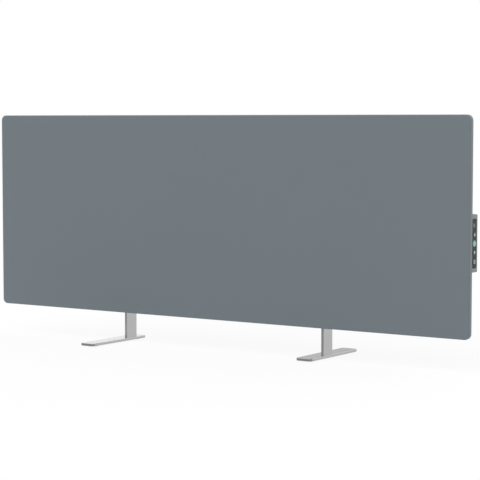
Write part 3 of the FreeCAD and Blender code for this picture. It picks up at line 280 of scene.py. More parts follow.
def brushed_metal(name, colour, along, roughness=0.34):
    """Satin metal with fine scratches along one axis."""
    material, graph = new_material(name)
    place = graph.coordinates(stretch(along, 0.012))
    scratch = graph.noise(place, scale=1800, detail=3, roughness=0.6)
    band = graph.noise(place, scale=420)
    smear = graph.noise(graph.coordinates(), scale=14)
    shade = graph.shades(scratch, colour, 0.86, 1.1)
    broad = graph.shades(band, colour, 0.94, 1.05)
    graph.surface(
        base_color=graph.mix(0.5, shade, broad),
        metallic=1.0,
        roughness=roughness + (scratch - 0.5) * 0.2 + (smear - 0.5) * 0.1,
        normal=graph.bump(scratch, strength=0.1, depth=0.06 * MM),
    )
    return material


def galvanised_sheet(name, colour):
    """Zinc-coated sheet with a soft spangle."""
    material, graph = new_material(name)
    place = graph.coordinates()
    cells = graph.node("TexVoronoi", None, {"Vector": place, "Scale": 130.0, "Randomness": 1.0}, "Color")
    spangle = graph.lightness(cells)
    haze = graph.noise(place, scale=600, detail=3)
    graph.surface(
        base_color=graph.shades(spangle, colour, 0.84, 1.1),
        metallic=1.0,
        roughness=0.36 + (spangle - 0.5) * 0.14 + (haze - 0.5) * 0.1,
        normal=graph.bump(haze, strength=0.05, depth=0.1 * MM),
    )
    return material


def mill_sheet(name, colour, along, roughness=0.3, tint=None):
    """Rolled bright sheet with long faint roll marks, and a heat tint where one is given."""
    material, graph = new_material(name)
    roll = graph.noise(graph.coordinates(stretch(along, 0.03)), scale=700, detail=3, roughness=0.55)
    patch = graph.noise(graph.coordinates(), scale=35, detail=3)
    shade = graph.shades(roll, colour, 0.88, 1.08)
    if tint:
        shade = graph.mix(patch * 0.7, shade, tone(tint, 1.0))
    graph.surface(
        base_color=shade,
        metallic=1.0,
        roughness=roughness + (roll - 0.5) * 0.16 + (patch - 0.5) * 0.08,
        normal=graph.bump(roll, strength=0.06, depth=0.08 * MM),
    )
    return material


def moulded_plastic(name, colour, roughness=0.5, grain=2400, relief=0.1, gloss=0.4):
    """Moulded plastic with a fine spark-eroded texture."""
    material, graph = new_material(name)
    place = graph.coordinates()
    spark = graph.noise(place, scale=grain, detail=4, roughness=0.6)
    flow = graph.noise(place, scale=60)
    graph.surface(
        base_color=graph.shades(flow, colour, 0.96, 1.04),
        roughness=roughness + (spark - 0.5) * 0.2 + (flow - 0.5) * 0.06,
        specular_ior_level=gloss,
        normal=graph.bump(spark, strength=relief, depth=0.08 * MM),
    )
    return material


def lit_plastic(name, colour, glow, strength):
    """Translucent plastic with a faint even glow."""
    material, graph = new_material(name)
    diffuser = graph.noise(graph.coordinates(), scale=1500)
    graph.surface(
        base_color=graph.shades(diffuser, colour, 0.94, 1.06),
        roughness=0.34 + (diffuser - 0.5) * 0.12,
        emission_color=graph.shades(diffuser, glow, 0.9, 1.1),
        emission_strength=strength,
        coat_weight=0.25,
        normal=graph.bump(diffuser, strength=0.04, depth=0.05 * MM),
    )
    return material


def soft_rubber(name, colour):
    """Matt rubber with a dusty bloom."""
    material, graph = new_material(name)
    place = graph.coordinates()
    bloom = graph.noise(place, scale=160, detail=4, roughness=0.6)
    pores = graph.noise(place, scale=2600)
    graph.surface(
        base_color=graph.shades(bloom, colour, 0.8, 1.5),
        roughness=0.78 + (bloom - 0.5) * 0.2,
        normal=graph.bump(pores, strength=0.16, depth=0.1 * MM),
    )
    return material


def fired_ceramic(name, colour):
    """Unglazed ceramic with small pits."""
    material, graph = new_material(name)
    place = graph.coordinates()
    pits = graph.node("TexVoronoi", None, {"Vector": place, "Scale": 1100.0}, "Distance")
    body = graph.noise(place, scale=220, detail=3)
    graph.surface(
        base_color=graph.shades(body, colour, 0.9, 1.05),
        roughness=0.7 + (body - 0.5) * 0.16,
        normal=graph.bump(pits, strength=0.14, depth=0.12 * MM),
    )
    return material


def circuit_laminate(name, colour, copper):
    """Solder-masked board with covered tracks and bare pads."""
    material, graph = new_material(name)
    place = graph.coordinates(turn=(math.pi / 2, 0, 0))
    bricks = {
        "Vector": place, "Scale": 260.0, "Mortar Size": 0.03, "Color1": (0, 0, 0, 1),
        "Color2": (0.25, 0.25, 0.25, 1), "Mortar": WHITE,
    }
    tracks = graph.lightness(graph.node("TexBrick", None, bricks))
    dots = graph.node("TexVoronoi", None, {"Vector": place, "Scale": 330.0}, "Distance")
    pads = graph.lightness(graph.greys(dots, ((0.16, 1), (0.2, 0))))
    mask = graph.shades(tracks, colour, 0.8, 1.7)
    graph.surface(
        base_color=graph.mix(pads, mask, tone(copper, 1.0)),
        metallic=pads * 0.9,
        roughness=0.34 + tracks * 0.1 - pads * 0.06,
        normal=graph.bump(tracks + pads, strength=0.2, depth=0.06 * MM),
    )
    return material


def wire_sleeve(name, colour, stripe=None):
    """Extruded insulation, with a stripe where a second colour is given."""
    material, graph = new_material(name)
    drawn = graph.noise(graph.coordinates(stretch("x", 0.1)), scale=1400)
    shade = graph.shades(drawn, colour, 0.92, 1.06)
    if stripe:
        waves = {"Vector": graph.coordinates(), "Scale": 420.0, "Distortion": 0.0}
        wave = graph.node("TexWave", {"bands_direction": "DIAGONAL"}, waves, 1)
        edge = graph.lightness(graph.greys(wave, ((0.48, 0), (0.52, 1))))
        shade = graph.mix(edge, shade, tone(stripe, 1.0))
    graph.surface(
        base_color=shade,
        roughness=0.42 + (drawn - 0.5) * 0.14,
        normal=graph.bump(drawn, strength=0.05, depth=0.05 * MM),
    )
    return material


def printed_ink(name, colour):
    """Pad-printed mark with a slightly uneven film."""
    material, graph = new_material(name)
    film = graph.noise(graph.coordinates(), scale=3200)
    graph.surface(
        base_color=graph.shades(film, colour, 0.93, 1.04),
        roughness=0.5 + (film - 0.5) * 0.2,
        normal=graph.bump(film, strength=0.06, depth=0.03 * MM),
    )
    return material


def dress(material, *names):
    """Give CAD nodes one finish."""
    for name in names:
        slots = NODES[name].data.materials
        slots.clear()
        slots.append(material)


# Meshes

def linked(name, data):
    """A new object in the scene."""
    made = bpy.data.objects.new(name, data)
    bpy.context.scene.collection.objects.link(made)
    return made


def new_piece(name, mesh, material, body=BODY, replaced=()):
    """Link a finished mesh, with its place in its vertices, and let it ride on a body."""
    piece = linked(name, mesh)
    mesh.materials.clear()
    mesh.materials.append(material)
    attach(piece, body)
    if replaced:
        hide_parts(*replaced)


def plain(name, mesh):
    """A plain mesh from one that is being worked on, which is freed."""
    made = bpy.data.meshes.new(name)
    mesh.to_mesh(made)
    mesh.free()
    return made


def points_mesh(places):
    """Loose points."""
    mesh = bpy.data.meshes.new("places")
    mesh.from_pydata([tuple(place) for place in places], [], [])
    return mesh


def clusters(name, gap):
    """The boxes of a node's separate solids, found by joining vertices nearer than a gap."""
    cells = {}
    for vertex in NODES[name].data.vertices:
        key = tuple(math.floor(part / gap) for part in vertex.co)
        cells.setdefault(key, []).append(vertex.co.copy())
    groups = []
    while cells:
        key, found = cells.popitem()
        front = [key]
        while front:
            x, y, z = front.pop()
            for shift in NEIGHBOURS:
                near = (x + shift[0], y + shift[1], z + shift[2])
                if near in cells:
                    found = found + cells.pop(near)
                    front.append(near)
        low = Vector(map(min, zip(*found)))
        high = Vector(map(max, zip(*found)))
        groups.append((low, high))
    return sorted(groups, key=lambda box: tuple(box[0]))


def lathe(profile, steps, sides=0):
    """A closed mesh turned about Z from radii and heights. With sides, the last two rings are a socket."""
    mesh = bmesh.new()
    rings = []
    for row, (radius, height) in enumerate(profile):
        ring = []
        for index in range(steps):
            angle = 2 * math.pi * index / steps
            reach = radius
            if sides and row >= len(profile) - 2:
                sector = 2 * math.pi / sides
                reach = radius * math.cos(sector / 2) / math.cos(angle % sector - sector / 2)
            ring.append(mesh.verts.new((reach * math.cos(angle), reach * math.sin(angle), height)))
        rings.append(ring)
    for low, high in zip(rings, rings[1:]):
        for index in range(steps):
            after = (index + 1) % steps
            mesh.faces.new((low[index], low[after], high[after], high[index]))
    mesh.faces.new(list(reversed(rings[0])))
    mesh.faces.new(rings[-1])
    bmesh.ops.recalc_face_normals(mesh, faces=mesh.faces)
    made = plain("turned", mesh)
    for polygon in made.polygons:
        polygon.use_smooth = len(polygon.vertices) == 4
    made.set_sharp_from_angle(angle=SHARP_EDGE)
    return made


def stroke(points, line, closed=False):
    """A flat stroke of constant width along points in a plane."""
    mesh = bmesh.new()
    count = len(points)
    pairs = []
    for index, point in enumerate(points):
        before = points[index - 1] if closed or index else point
        after = points[(index + 1) % count] if closed or index < count - 1 else point
        way = (after - before).normalized()
        side = Vector((-way.y, way.x)) * line / 2
        pairs.append((mesh.verts.new((*(point + side), 0)), mesh.verts.new((*(point - side), 0))))
    runs = count if closed else count - 1
    for index in range(runs):
        (a, b), (c, d) = pairs[index], pairs[(index + 1) % count]
        mesh.faces.new((a, b, d, c))
    return mesh


def filled(points):
    """A flat plate inside a ring of points."""
    mesh = bmesh.new()
    mesh.faces.new([mesh.verts.new((*point, 0)) for point in points])
    return mesh


def arc(radius, start, end, steps):
    """Points along an arc about the origin."""
    turns = [start + (end - start) * step / steps for step in range(steps + 1)]
    return [Vector((radius * math.cos(turn), radius * math.sin(turn))) for turn in turns]


# Geometry Nodes

class Tree:
    """A Geometry Nodes tree with named inputs."""

    def __init__(self, name):
        self.group = bpy.data.node_groups.new(name, "GeometryNodeTree")
        self.group.interface.new_socket("Geometry", in_out="OUTPUT", socket_type="NodeSocketGeometry")
        self.entry = self.group.nodes.new("NodeGroupInput")

    def input(self, name, kind):
        """A named input and the socket that gives it inside the tree."""
        self.group.interface.new_socket(name, in_out="INPUT", socket_type="NodeSocket" + kind)
        return self.entry.outputs[name]

    def node(self, kind, settings=None, inputs=None, output=0):
        """Add a node, set it up, feed its sockets and hand back one of its outputs."""
        node = self.group.nodes.new("GeometryNode" + kind)
        for name, setting in (settings or {}).items():
            setattr(node, name, setting)
        for key, value in (inputs or {}).items():
            if isinstance(value, bpy.types.NodeSocket):
                self.group.links.new(value, node.inputs[key])
            else:
                node.inputs[key].default_value = value
        return node.outputs[output]

    def circle(self, radius, steps):
        """A round curve."""
        return self.node("CurvePrimitiveCircle", None, {"Resolution": steps, "Radius": radius})

    def swept(self, curve, profile):
        """A tube along a curve."""
        return self.node("CurveToMesh", None, {"Curve": curve, "Profile Curve": profile})

    def smooth(self, geometry):
        """The same shape, shaded smooth."""
        return self.node("SetShadeSmooth", None, {"Geometry": geometry, "Shade Smooth": True})

    def finish(self, points, shape, material, **inputs):
        """End in plain geometry: one shape on every point, with one material."""
        placed = self.node("InstanceOnPoints", None, {"Points": points, "Instance": shape, **inputs})
        real = self.node("RealizeInstances", None, {"Geometry": placed})
        painted = self.node("SetMaterial", None, {"Geometry": real, "Material": material})
        leave = self.group.nodes.new("NodeGroupOutput")
        self.group.links.new(painted, leave.inputs[0])


def grown(tree, values, start=None):
    """The plain mesh that a tree gives for its input values on a start mesh."""
    carrier = linked("carrier", start or bpy.data.meshes.new("start"))
    modifier = carrier.modifiers.new("Grow", "NODES")
    modifier.node_group = tree.group
    for item in tree.group.interface.items_tree:
        if item.in_out == "INPUT" and item.name in values:
            modifier[item.identifier] = values[item.name]
    depsgraph = bpy.context.evaluated_depsgraph_get()
    made = bpy.data.meshes.new_from_object(carrier.evaluated_get(depsgraph))
    carrier.modifiers.clear()
    bpy.data.objects.remove(carrier)
    return made


def scatter_tree(name, material):
    """One shape on every point of the start mesh."""
    tree = Tree(name)
    start = tree.input("Geometry", "Geometry")
    shape = tree.input("Shape", "Object")
    turn = tree.input("Turn", "Rotation")
    info = tree.node("ObjectInfo", {"transform_space": "ORIGINAL"}, {"Object": shape}, "Geometry")
    tree.finish(start, info, material, Rotation=turn)
    return tree


def scattered(tree, shape, places, turn):
    """A mesh of one shape at many places, turned the same way."""
    model = linked("shape", shape)
    made = grown(tree, {"Shape": model, "Turn": turn}, points_mesh(places))
    bpy.data.objects.remove(model)
    return made


def rim_tree(material):
    """A row of rolled rims round slots, one pitch apart along X."""
    tree = Tree("slot_rims")
    tree.input("Geometry", "Geometry")
    first = tree.input("First", "Vector")
    pitch = tree.input("Pitch", "Vector")
    count = tree.input("Count", "Int")
    width = tree.input("Slot width", "Float")
    length = tree.input("Slot length", "Float")
    roll = tree.input("Roll radius", "Float")
    corner = tree.input("Corner radius", "Float")
    line = {"Count": count, "Start Location": first, "Offset": pitch}
    row = tree.node("MeshLine", {"mode": "OFFSET"}, line)
    outline = tree.node("CurvePrimitiveQuadrilateral", None, {"Width": width, "Height": length})
    fillet = {"Curve": outline, "Radius": corner, "Count": RIM_CORNER_STEPS}
    rounded = tree.node("FilletCurve", {"mode": "POLY"}, fillet)
    rim = tree.swept(rounded, tree.circle(roll, RIM_SIDES))
    tree.finish(row, tree.smooth(rim), material)
    return tree


def ring_tree(material):
    """Concentric raised rings under each point, for the grip of a foot pad."""
    tree = Tree("pad_rings")
    start = tree.input("Geometry", "Geometry")
    roll = tree.input("Roll radius", "Float")
    radii = [tree.input(f"Ring {index}", "Float") for index in range(1, len(RING_RADII) + 1)]
    profile = tree.circle(roll, RING_SIDES)
    rings = tree.group.nodes.new("GeometryNodeJoinGeometry")
    for radius in radii:
        ring = tree.swept(tree.circle(radius, RING_STEPS), profile)
        tree.group.links.new(ring, rings.inputs[0])
    tree.finish(start, tree.smooth(rings.outputs[0]), material)
    return tree


# Settings

def colour_property(label, description, default):
    """A colour that a user may change."""
    return bpy.props.FloatVectorProperty(
        name=label, description=description, default=default, subtype="COLOR", size=3, min=0, max=1
    )


def length_property(label, description, default):
    """A length that a user may change."""
    return bpy.props.FloatProperty(name=label, description=description, default=default, unit="LENGTH", min=0)


def level_property(label, description, default):
    """A strength of light that a user may change."""
    return bpy.props.FloatProperty(name=label, description=description, default=default, min=0)


def angle_property(label, description, default):
    """An angle that a user may change."""
    return bpy.props.FloatProperty(name=label, description=description, default=default, unit="ROTATION")


class HeaterFinishes(bpy.types.PropertyGroup):
    """Colours of the heater's finishes, linear."""

    panel: colour_property("Panel", "Powder coat of the front panel", (0.162, 0.194, 0.217))
    cover: colour_property("Rear cover", "Powder coat of the rear cover", (0.145, 0.168, 0.184))
    grille: colour_property("Grilles", "Black coat of the grilles", (0.012, 0.0125, 0.013))
    feet: colour_property("Feet", "Satin steel of the posts and bars", (0.45, 0.45, 0.45))
    housing: colour_property("Housing", "Moulded control housing", (0.242, 0.261, 0.256))
    strip: colour_property("Key strip", "Dark strip behind the keys", (0.016, 0.023, 0.021))
    keys: colour_property("Keys", "Caps of the keys", (0.085, 0.095, 0.092))
    marks: colour_property("Key marks", "Printed marks on the keys", (0.60, 0.63, 0.62))
    lit: colour_property("Lit key", "Cap of the power key", (0.135, 0.385, 0.31))
    lens: colour_property("Lens", "Tinted indicator lens", (0.05, 0.085, 0.07))
    rubber: colour_property("Rubber", "Pads, bush and conduit", (0.018, 0.018, 0.018))
    zinc: colour_property("Screws", "Zinc-plated fasteners", (0.48, 0.49, 0.50))


class HeaterTrim(bpy.types.PropertyGroup):
    """Sizes of the small trim."""

    mark_size: length_property("Mark size", "Height of a mark on a key", 6.0 * MM)
    mark_line: length_property("Mark line", "Width of a mark's line", 1.1 * MM)
    mark_film: length_property("Mark film", "How far a printed mark stands proud", 0.05 * MM)
    rim_roll: length_property("Slot rim", "Radius of the rolled rim round a slot", 0.45 * MM)
    rim_corner: length_property("Slot corner", "Corner radius of a slot's rim", 0.8 * MM)
    slot_width: length_property("Slot width", "Width of an air slot", 5 * MM)
    slot_length: length_property("Slot length", "Length of an air slot", 17 * MM)
    slot_pitch: length_property("Slot pitch", "Distance from slot to slot", 9 * MM)
    ring_roll: length_property("Pad ring", "Radius of a pad's grip ring", 0.5 * MM)


class HeaterStage(bpy.types.PropertyGroup):
    """Camera and light."""

    lens: bpy.props.FloatProperty(
        name="Lens", description="Focal length", default=126.925, unit="CAMERA", min=1
    )
    azimuth: angle_property("Azimuth", "Camera's turn to the heater's right", math.radians(34.2323))
    elevation: angle_property("Elevation", "How far the camera looks down", math.radians(4.0536))
    place: bpy.props.FloatVectorProperty(
        name="Camera", description="Place of the camera", default=(1.75095, -2.50935, 0.41638),
        subtype="TRANSLATION", size=3,
    )
    sky: level_property("Sky", "Strength of the even light", 0.62)
    key_level: level_property("Key light", "Level of the soft light from the front and above", 1.15)
    back_level: level_property("Back light", "Level of the soft light from behind", 0.55)


# Operators

class DressPanel(bpy.types.Operator):
    """Coat the front panel, the rear cover and the sheets behind them"""

    bl_idname = "heater.dress_panel"
    bl_label = "Panel and cover"

    def execute(self, context):
        finishes = context.scene.heater_finishes
        dress(powder_coat("panel_coat", finishes.panel), "front_panel")
        dress(powder_coat("cover_coat", finishes.cover, roughness=0.52), "rear_cover")
        dress(powder_coat("grille_coat", finishes.grille, roughness=0.6), "outlet_grille", "inlet_grilles")
        zinc = galvanised_sheet("zinc_sheet", (0.34, 0.355, 0.365))
        dress(zinc, "chassis_plate", "element_bracket_left", "element_bracket_right", "post_nut_plates")
        return {"FINISHED"}


class DressFeet(bpy.types.Operator):
    """Brush the posts along their height and the bars along their length"""

    bl_idname = "heater.dress_feet"
    bl_label = "Feet"

    def execute(self, context):
        finishes = context.scene.heater_finishes
        dress(brushed_metal("post_steel", finishes.feet, "z"), "foot_post_left", "foot_post_right")
        bars = brushed_metal("bar_steel", finishes.feet, "y", roughness=0.22)
        dress(bars, "foot_bar_left", "foot_bar_right")
        return {"FINISHED"}


class DressControls(bpy.types.Operator):
    """Finish the control housing, its key strip, the keys and the lens"""

    bl_idname = "heater.dress_controls"
    bl_label = "Controls"

    def execute(self, context):
        finishes = context.scene.heater_finishes
        dress(moulded_plastic("housing_plastic", finishes.housing), "control_housing", "control_lid")
        strip = moulded_plastic(
            "strip_plastic", finishes.strip, roughness=0.4, grain=1800, relief=0.03, gloss=0.2
        )
        dress(strip, "key_strip")
        caps = moulded_plastic(
            "cap_plastic", finishes.keys, roughness=0.42, grain=1800, relief=0.04, gloss=0.25
        )
        dress(caps, "raise_button", "lower_button", "timer_button")
        dress(lit_plastic("lit_cap", finishes.lit, (0.21, 0.49, 0.4), strength=0.1), "power_button")
        lens = lit_plastic("lens_plastic", finishes.lens, (0.1, 0.35, 0.2), strength=0.06)
        dress(lens, "indicator_lens")
        return {"FINISHED"}


class DressInside(bpy.types.Operator):
    """Finish the element, the wiring, the boards and the rubber parts"""

    bl_idname = "heater.dress_inside"
    bl_label = "Inside"

    def execute(self, context):
        finishes = context.scene.heater_finishes
        self.dress_element()
        self.dress_wiring()
        dress(soft_rubber("black_rubber", finishes.rubber), "wire_conduit", "cable_bush", "foot_pads")
        self.dress_boards()
        zinc = mill_sheet("screw_zinc", finishes.zinc, "y", roughness=0.34)
        dress(zinc, "bracket_screws", "housing_screws", "key_board_screws", "power_board_screws")
        return {"FINISHED"}

    @staticmethod
    def dress_element():
        """The heating rod, its fins and what holds and guards it."""
        dress(mill_sheet("bright_sheet", (0.72, 0.73, 0.74), "x"), "heat_shield", "element_fins")
        sheath = mill_sheet("sheath_steel", (0.32, 0.31, 0.29), "x", roughness=0.36, tint=(0.18, 0.12, 0.1))
        dress(sheath, "element_rod")
        dress(fired_ceramic("bush_ceramic", (0.74, 0.71, 0.62)), "ceramic_bush_left", "ceramic_bush_right")
        resin = moulded_plastic("cutout_resin", (0.022, 0.016, 0.012), roughness=0.38, grain=900)
        dress(resin, "thermal_cutout")
        dress(mill_sheet("tinned_brass", (0.62, 0.58, 0.45), "y", roughness=0.32), "earth_tab")

    @staticmethod
    def dress_wiring():
        """The four wires and their clips."""
        dress(wire_sleeve("brown_sleeve", (0.09, 0.03, 0.012)), "live_wire")
        dress(wire_sleeve("blue_sleeve", (0.012, 0.05, 0.3)), "neutral_wire")
        dress(wire_sleeve("earth_sleeve", (0.05, 0.22, 0.03), stripe=(0.62, 0.5, 0.03)), "earth_wire")
        dress(wire_sleeve("white_sleeve", (0.7, 0.7, 0.66)), "link_wire")
        dress(moulded_plastic("clip_nylon", (0.7, 0.68, 0.6), roughness=0.45, grain=1200), "wire_clips")

    @staticmethod
    def dress_boards():
        """The two boards and the parts on them."""
        laminate = circuit_laminate("board_laminate", (0.008, 0.07, 0.025), copper=(0.7, 0.45, 0.25))
        dress(laminate, "key_board", "power_board")
        black = moulded_plastic("black_plastic", (0.014, 0.014, 0.015), roughness=0.42)
        dress(black, "key_switches", "supply_module", "room_sensor")
        dress(black, "raise_plunger", "power_plunger", "lower_plunger", "timer_plunger")
        dress(lit_plastic("lamp_resin", (0.6, 0.75, 0.66), (0.3, 0.8, 0.6), strength=0.5), "key_lamps")
        dress(moulded_plastic("relay_plastic", (0.014, 0.04, 0.2), roughness=0.36, grain=1500), "relay")
        terminals = moulded_plastic("terminal_plastic", (0.045, 0.2, 0.05), roughness=0.4, grain=1500)
        dress(terminals, "terminal_block")
        dress(moulded_plastic("tilt_plastic", (0.6, 0.6, 0.57), roughness=0.45, grain=1500), "tilt_case")
        dress(mill_sheet("tilt_brass", (0.62, 0.42, 0.12), "x", roughness=0.25), "tilt_pendulum")


class MakeKeyMarks(bpy.types.Operator):
    """Print an up mark, a power sign, a down mark and a clock on the keys"""

    bl_idname = "heater.make_key_marks"
    bl_label = "Key marks"

    def execute(self, context):
        trim = context.scene.heater_trim
        ink = printed_ink("mark_ink", context.scene.heater_finishes.marks)
        for name, parts in self.outlines(trim.mark_size / 2, trim.mark_line).items():
            low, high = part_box(f"{name}_button")
            centre = (low + high) / 2
            mesh = bmesh.new()
            for part in parts:
                flat = plain("stroke", part)
                mesh.from_mesh(flat)
                bpy.data.meshes.remove(flat)
            self.raise_film(mesh, trim.mark_film)
            stand = Matrix(((0, 0, 1, high.x), (1, 0, 0, centre.y), (0, 1, 0, centre.z), (0, 0, 0, 1)))
            mesh.transform(stand)
            bmesh.ops.recalc_face_normals(mesh, faces=mesh.faces)
            made = plain(f"{name}_mark", mesh)
            new_piece(f"{name}_mark", made, ink, f"{name}_key")
        return {"FINISHED"}

    @staticmethod
    def outlines(half, line):
        """Flat shapes of the marks by key, for half a mark's height and a line's width."""
        upward = [Vector((-half, -half * 0.75)), Vector((half, -half * 0.75)), Vector((0, half * 0.85))]
        downward = [Vector((-point.x, -point.y)) for point in upward]
        start = (math.pi + POWER_GAP) / 2
        opened = arc(half * 1.1, start, start + 2 * math.pi - POWER_GAP, POWER_STEPS)
        short = [Vector((0, half * 0.1)), Vector((0, half * 1.3))]
        circle = arc(half, 0, 2 * math.pi, CLOCK_STEPS)[:-1]
        hands = [Vector((0, half * 0.55)), Vector((0, 0)), Vector((half * 0.45, 0))]
        return {
            "raise": [filled(upward)],
            "power": [stroke(opened, line), stroke(short, line)],
            "lower": [filled(downward)],
            "timer": [stroke(circle, line * CLOCK_LINE, True), stroke(hands, line * CLOCK_LINE)],
        }

    @staticmethod
    def raise_film(mesh, film):
        """Give flat strokes the thickness of the ink."""
        grown_faces = bmesh.ops.extrude_face_region(mesh, geom=mesh.faces[:])
        raised = [item for item in grown_faces["geom"] if isinstance(item, bmesh.types.BMVert)]
        bmesh.ops.translate(mesh, vec=(0, 0, film), verts=raised)


class MakeSlotRims(bpy.types.Operator):
    """Roll a rim round every slot of the outlet and the inlets"""

    bl_idname = "heater.make_slot_rims"
    bl_label = "Slot rims"

    def execute(self, context):
        trim = context.scene.heater_trim
        coat = NODES["outlet_grille"].data.materials[0]
        tree = rim_tree(coat)
        low, high = clusters("outlet_grille", GRILLE_GAP)[0]
        self.add_row(tree, trim, coat, "outlet_rims", low, high, high.z)
        for index, (low, high) in enumerate(clusters("inlet_grilles", GRILLE_GAP), start=1):
            self.add_row(tree, trim, coat, f"inlet_rims_{index}", low, high, low.z)
        return {"FINISHED"}

    @staticmethod
    def add_row(tree, trim, coat, name, low, high, level):
        """Rims for as many slots as a grille has room for, about its middle."""
        centre = (low + high) / 2
        room = high.x - low.x - 2 * GRILLE_LAP - trim.slot_width - 2 * SLOT_MARGIN
        steps = math.floor(room / trim.slot_pitch + ROUNDING)
        values = {
            "First": (centre.x - steps * trim.slot_pitch / 2, centre.y, level),
            "Pitch": (trim.slot_pitch, 0, 0),
            "Count": steps + 1,
            "Slot width": trim.slot_width + trim.rim_roll,
            "Slot length": trim.slot_length + trim.rim_roll,
            "Roll radius": trim.rim_roll,
            "Corner radius": trim.rim_corner,
        }
        new_piece(name, grown(tree, values), coat)


class MakeScrews(bpy.types.Operator):
    """Turn the outer screws with soft heads and sockets"""

    bl_idname = "heater.make_screws"
    bl_label = "Screws"

    def execute(self, context):
        zinc = mill_sheet("turned_zinc", context.scene.heater_finishes.zinc, "x")
        tree = scatter_tree("screw_scatter", zinc)
        for node, screw in SCREWS.items():
            boxes = clusters(node, FASTENER_GAP)
            low, high = boxes[0]
            shape = self.turned(screw, (high - low)[screw.axis] - screw.height)
            made = scattered(tree, shape, self.seats(screw, boxes), HEAD_TURNS[screw.axis])
            new_piece(f"{node}_turned", made, zinc, replaced=[node])
        return {"FINISHED"}

    @staticmethod
    def turned(screw, length):
        """A screw that stands on the underside of its head, with a shank of a length below."""
        head, height, socket, shank = screw[:4]
        profile = [
            (shank * 0.7, -length), (shank, -length + shank * 0.4), (shank, 0), (head * 0.97, 0),
            (head, height * 0.12), (head, height * 0.62), (head * 0.93, height * 0.86),
            (head * 0.78, height), (socket * 1.08, height), (socket, height * 0.94), (socket, height * 0.5),
        ]
        return lathe(profile, SCREW_STEPS, SOCKET_SIDES)

    @staticmethod
    def seats(screw, boxes):
        """Where the undersides of the heads are, near the back of each box or near its bottom."""
        places = []
        for low, high in boxes:
            place = (low + high) / 2
            if screw.axis == DEPTH:
                place.y = high.y - screw.height
            else:
                place.z = low.z + screw.height
            places.append(place)
        return places


class MakeRivets(bpy.types.Operator):
    """Set domed blind rivets in the rear cover"""

    bl_idname = "heater.make_rivets"
    bl_label = "Rivets"

    def execute(self, context):
        bright = mill_sheet("rivet_alloy", (0.42, 0.43, 0.44), "x", roughness=0.36)
        tree = scatter_tree("rivet_scatter", bright)
        boxes = clusters("shield_rivets", FASTENER_GAP)
        head, height, shank, hole = 3.5 * MM, 1.0 * MM, 1.95 * MM, 0.9 * MM
        low, high = boxes[0]
        grip = high.y - low.y - 2 * height
        profile = [
            (shank * 0.6, -grip - height), (head * 0.92, -grip - height * 0.7), (head, -grip - height * 0.2),
            (head, -grip), (shank, -grip), (shank, 0), (head, 0), (head, height * 0.2),
            (head * 0.9, height * 0.55), (head * 0.68, height * 0.85), (head * 0.45, height),
            (hole, height), (hole * 0.9, height * 0.5),
        ]
        places = [Vector(((a.x + b.x) / 2, b.y - height, (a.z + b.z) / 2)) for a, b in boxes]
        made = scattered(tree, lathe(profile, RIVET_STEPS), places, HEAD_TURNS[DEPTH])
        new_piece("rivets_set", made, bright, replaced=["shield_rivets"])
        return {"FINISHED"}


class MakePadRings(bpy.types.Operator):
    """Mould grip rings into the underside of the foot pads"""

    bl_idname = "heater.make_pad_rings"
    bl_label = "Pad rings"

    def execute(self, context):
        roll = context.scene.heater_trim.ring_roll
        rubber = NODES["foot_pads"].data.materials[0]
        places = []
        for low, high in clusters("foot_pads", PAD_GAP):
            places.append(((low.x + high.x) / 2, (low.y + high.y) / 2, low.z + roll))
        values = {f"Ring {index}": radius for index, radius in enumerate(RING_RADII, start=1)}
        made = grown(ring_tree(rubber), {"Roll radius": roll, **values}, points_mesh(places))
        new_piece("pad_rings", made, rubber)
        return {"FINISHED"}


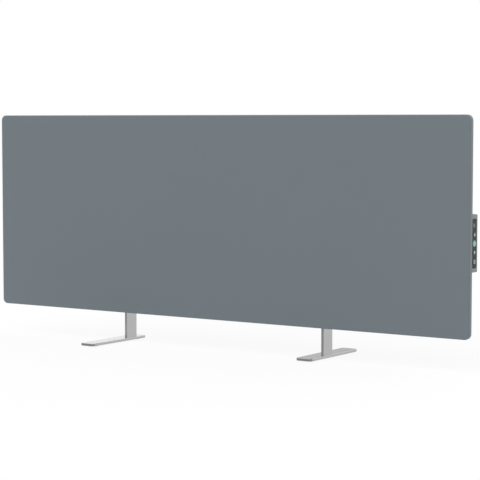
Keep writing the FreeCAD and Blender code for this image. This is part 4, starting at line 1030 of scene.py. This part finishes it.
class MakeStage(bpy.types.Operator):
    """Set up a pale floor, soft light and the camera"""

    bl_idname = "heater.make_stage"
    bl_label = "Stage"

    def execute(self, context):
        stage = context.scene.heater_stage
        context.scene.view_settings.view_transform = "Standard"
        self.make_floor()
        context.scene.world = self.make_world(stage)
        self.make_lamp("key_lamp", stage.key_level, KEY_SIDE)
        self.make_lamp("back_lamp", stage.back_level, BACK_SIDE)
        context.scene.camera = self.make_camera(stage)
        return {"FINISHED"}

    @staticmethod
    def seen(graph):
        """One where a ray comes from the camera, a reflection or a refraction."""
        first = graph.sum("MAXIMUM", graph.ray("Camera"), graph.ray("Glossy"))
        return graph.sum("MAXIMUM", first, graph.ray("Transmission"))

    def make_floor(self):
        """A wide round floor that is nearly white and keeps the heater's shadow."""
        mesh = bmesh.new()
        bmesh.ops.create_circle(mesh, cap_ends=True, segments=FLOOR_SIDES, radius=FLOOR_RADIUS)
        floor = linked("floor", plain("floor", mesh))
        material, graph = new_material("floor_paper")
        paper = graph.node("BsdfDiffuse", None, {"Color": FLOOR_PAPER})
        white = graph.node("Emission", None, {"Color": self.floor_shade(graph), "Strength": FLOOR_GLOW})
        mixed = graph.node("MixShader", None, {0: self.seen(graph) * GLOW_SHARE, 1: paper, 2: white})
        graph.node("OutputMaterial", None, {"Surface": mixed})
        floor.data.materials.append(material)

    @staticmethod
    def floor_shade(graph):
        """White to the eye, and dimmer in front of the heater where metal mirrors it."""
        across, depth = graph.plan(graph.coordinates())
        mirrored = graph.greys(depth - across * FLOOR_SLANT + 0.5, FLOOR_SHADES)
        return graph.mix(graph.ray("Glossy"), WHITE, mirrored)

    def make_world(self, stage):
        """An even light, shown as white, with a shaded room for metal to mirror."""
        world = bpy.data.worlds.new("studio")
        graph = Graph(world)
        even = graph.node("Background", None, {"Color": WHITE, "Strength": stage.sky})
        white = graph.node("Background", None, {"Color": WHITE, "Strength": 1.0})
        room = graph.node("Background", None, {"Color": self.room_shade(graph), "Strength": 1.0})
        shown = graph.node("MixShader", None, {0: self.seen(graph), 1: even, 2: white})
        mixed = graph.node("MixShader", None, {0: graph.ray("Glossy"), 1: shown, 2: room})
        graph.node("OutputWorld", None, {"Surface": mixed})
        return world

    @staticmethod
    def room_shade(graph):
        """What metal mirrors, as a shade for each way round the room."""
        across, depth = graph.plan(graph.node("TexCoord", output="Generated"))
        turn = graph.sum("ARCTAN2", depth, across) * (0.5 / math.pi) + 0.5
        return graph.greys(turn, ROOM_SHADES)

    @staticmethod
    def make_lamp(name, level, side):
        """A very soft even light from one side of the room."""
        data = bpy.data.lights.new(name, "SUN")
        data.energy = level
        data.angle = LAMP_SPREAD
        lamp = linked(name, data)
        lamp.location = side
        lamp.rotation_euler = (-Vector(side)).to_track_quat("-Z", "Y").to_euler()

    @staticmethod
    def make_camera(stage):
        """A camera at its place, turned towards the heater."""
        data = bpy.data.cameras.new("camera")
        data.lens = stage.lens
        data.sensor_width = SENSOR_WIDTH
        data.clip_end = VIEW_LIMIT
        turn, tilt = stage.azimuth, stage.elevation
        back = Vector((math.sin(turn) * math.cos(tilt), -math.cos(turn) * math.cos(tilt), math.sin(tilt)))
        camera = linked("camera", data)
        camera.location = stage.place
        camera.rotation_euler = (-back).to_track_quat("-Z", "Y").to_euler()
        return camera


OPERATORS = (
    DressPanel, DressFeet, DressControls, DressInside, MakeKeyMarks, MakeSlotRims, MakeScrews, MakeRivets,
    MakePadRings, MakeStage,
)
SETTINGS = {"heater_finishes": HeaterFinishes, "heater_trim": HeaterTrim, "heater_stage": HeaterStage}


class HeaterSidebar(bpy.types.Panel):
    """Lists the settings and the steps that dress the heater"""

    bl_idname = "VIEW3D_PT_heater"
    bl_label = "Heater"
    bl_space_type = "VIEW_3D"
    bl_region_type = "UI"
    bl_category = "Heater"

    def draw(self, context):
        for name, group in SETTINGS.items():
            box = self.layout.box()
            for setting in group.__annotations__:
                box.prop(getattr(context.scene, name), setting)
        for operator in OPERATORS:
            self.layout.operator(operator.bl_idname)


CLASSES = (*SETTINGS.values(), *OPERATORS, HeaterSidebar)


def register():
    """Make the classes and the scene's settings known."""
    for kind in CLASSES:
        bpy.utils.register_class(kind)
    for name, group in SETTINGS.items():
        setattr(bpy.types.Scene, name, bpy.props.PointerProperty(type=group))


def unregister():
    """Take the settings and the classes away again."""
    for name in SETTINGS:
        delattr(bpy.types.Scene, name)
    for kind in reversed(CLASSES):
        bpy.utils.unregister_class(kind)


def main():
    """Dress the heater step by step."""
    register()
    for operator in OPERATORS:
        space, name = operator.bl_idname.split(".")
        getattr(getattr(bpy.ops, space), name)()


if __name__ == "__main__":
    main()
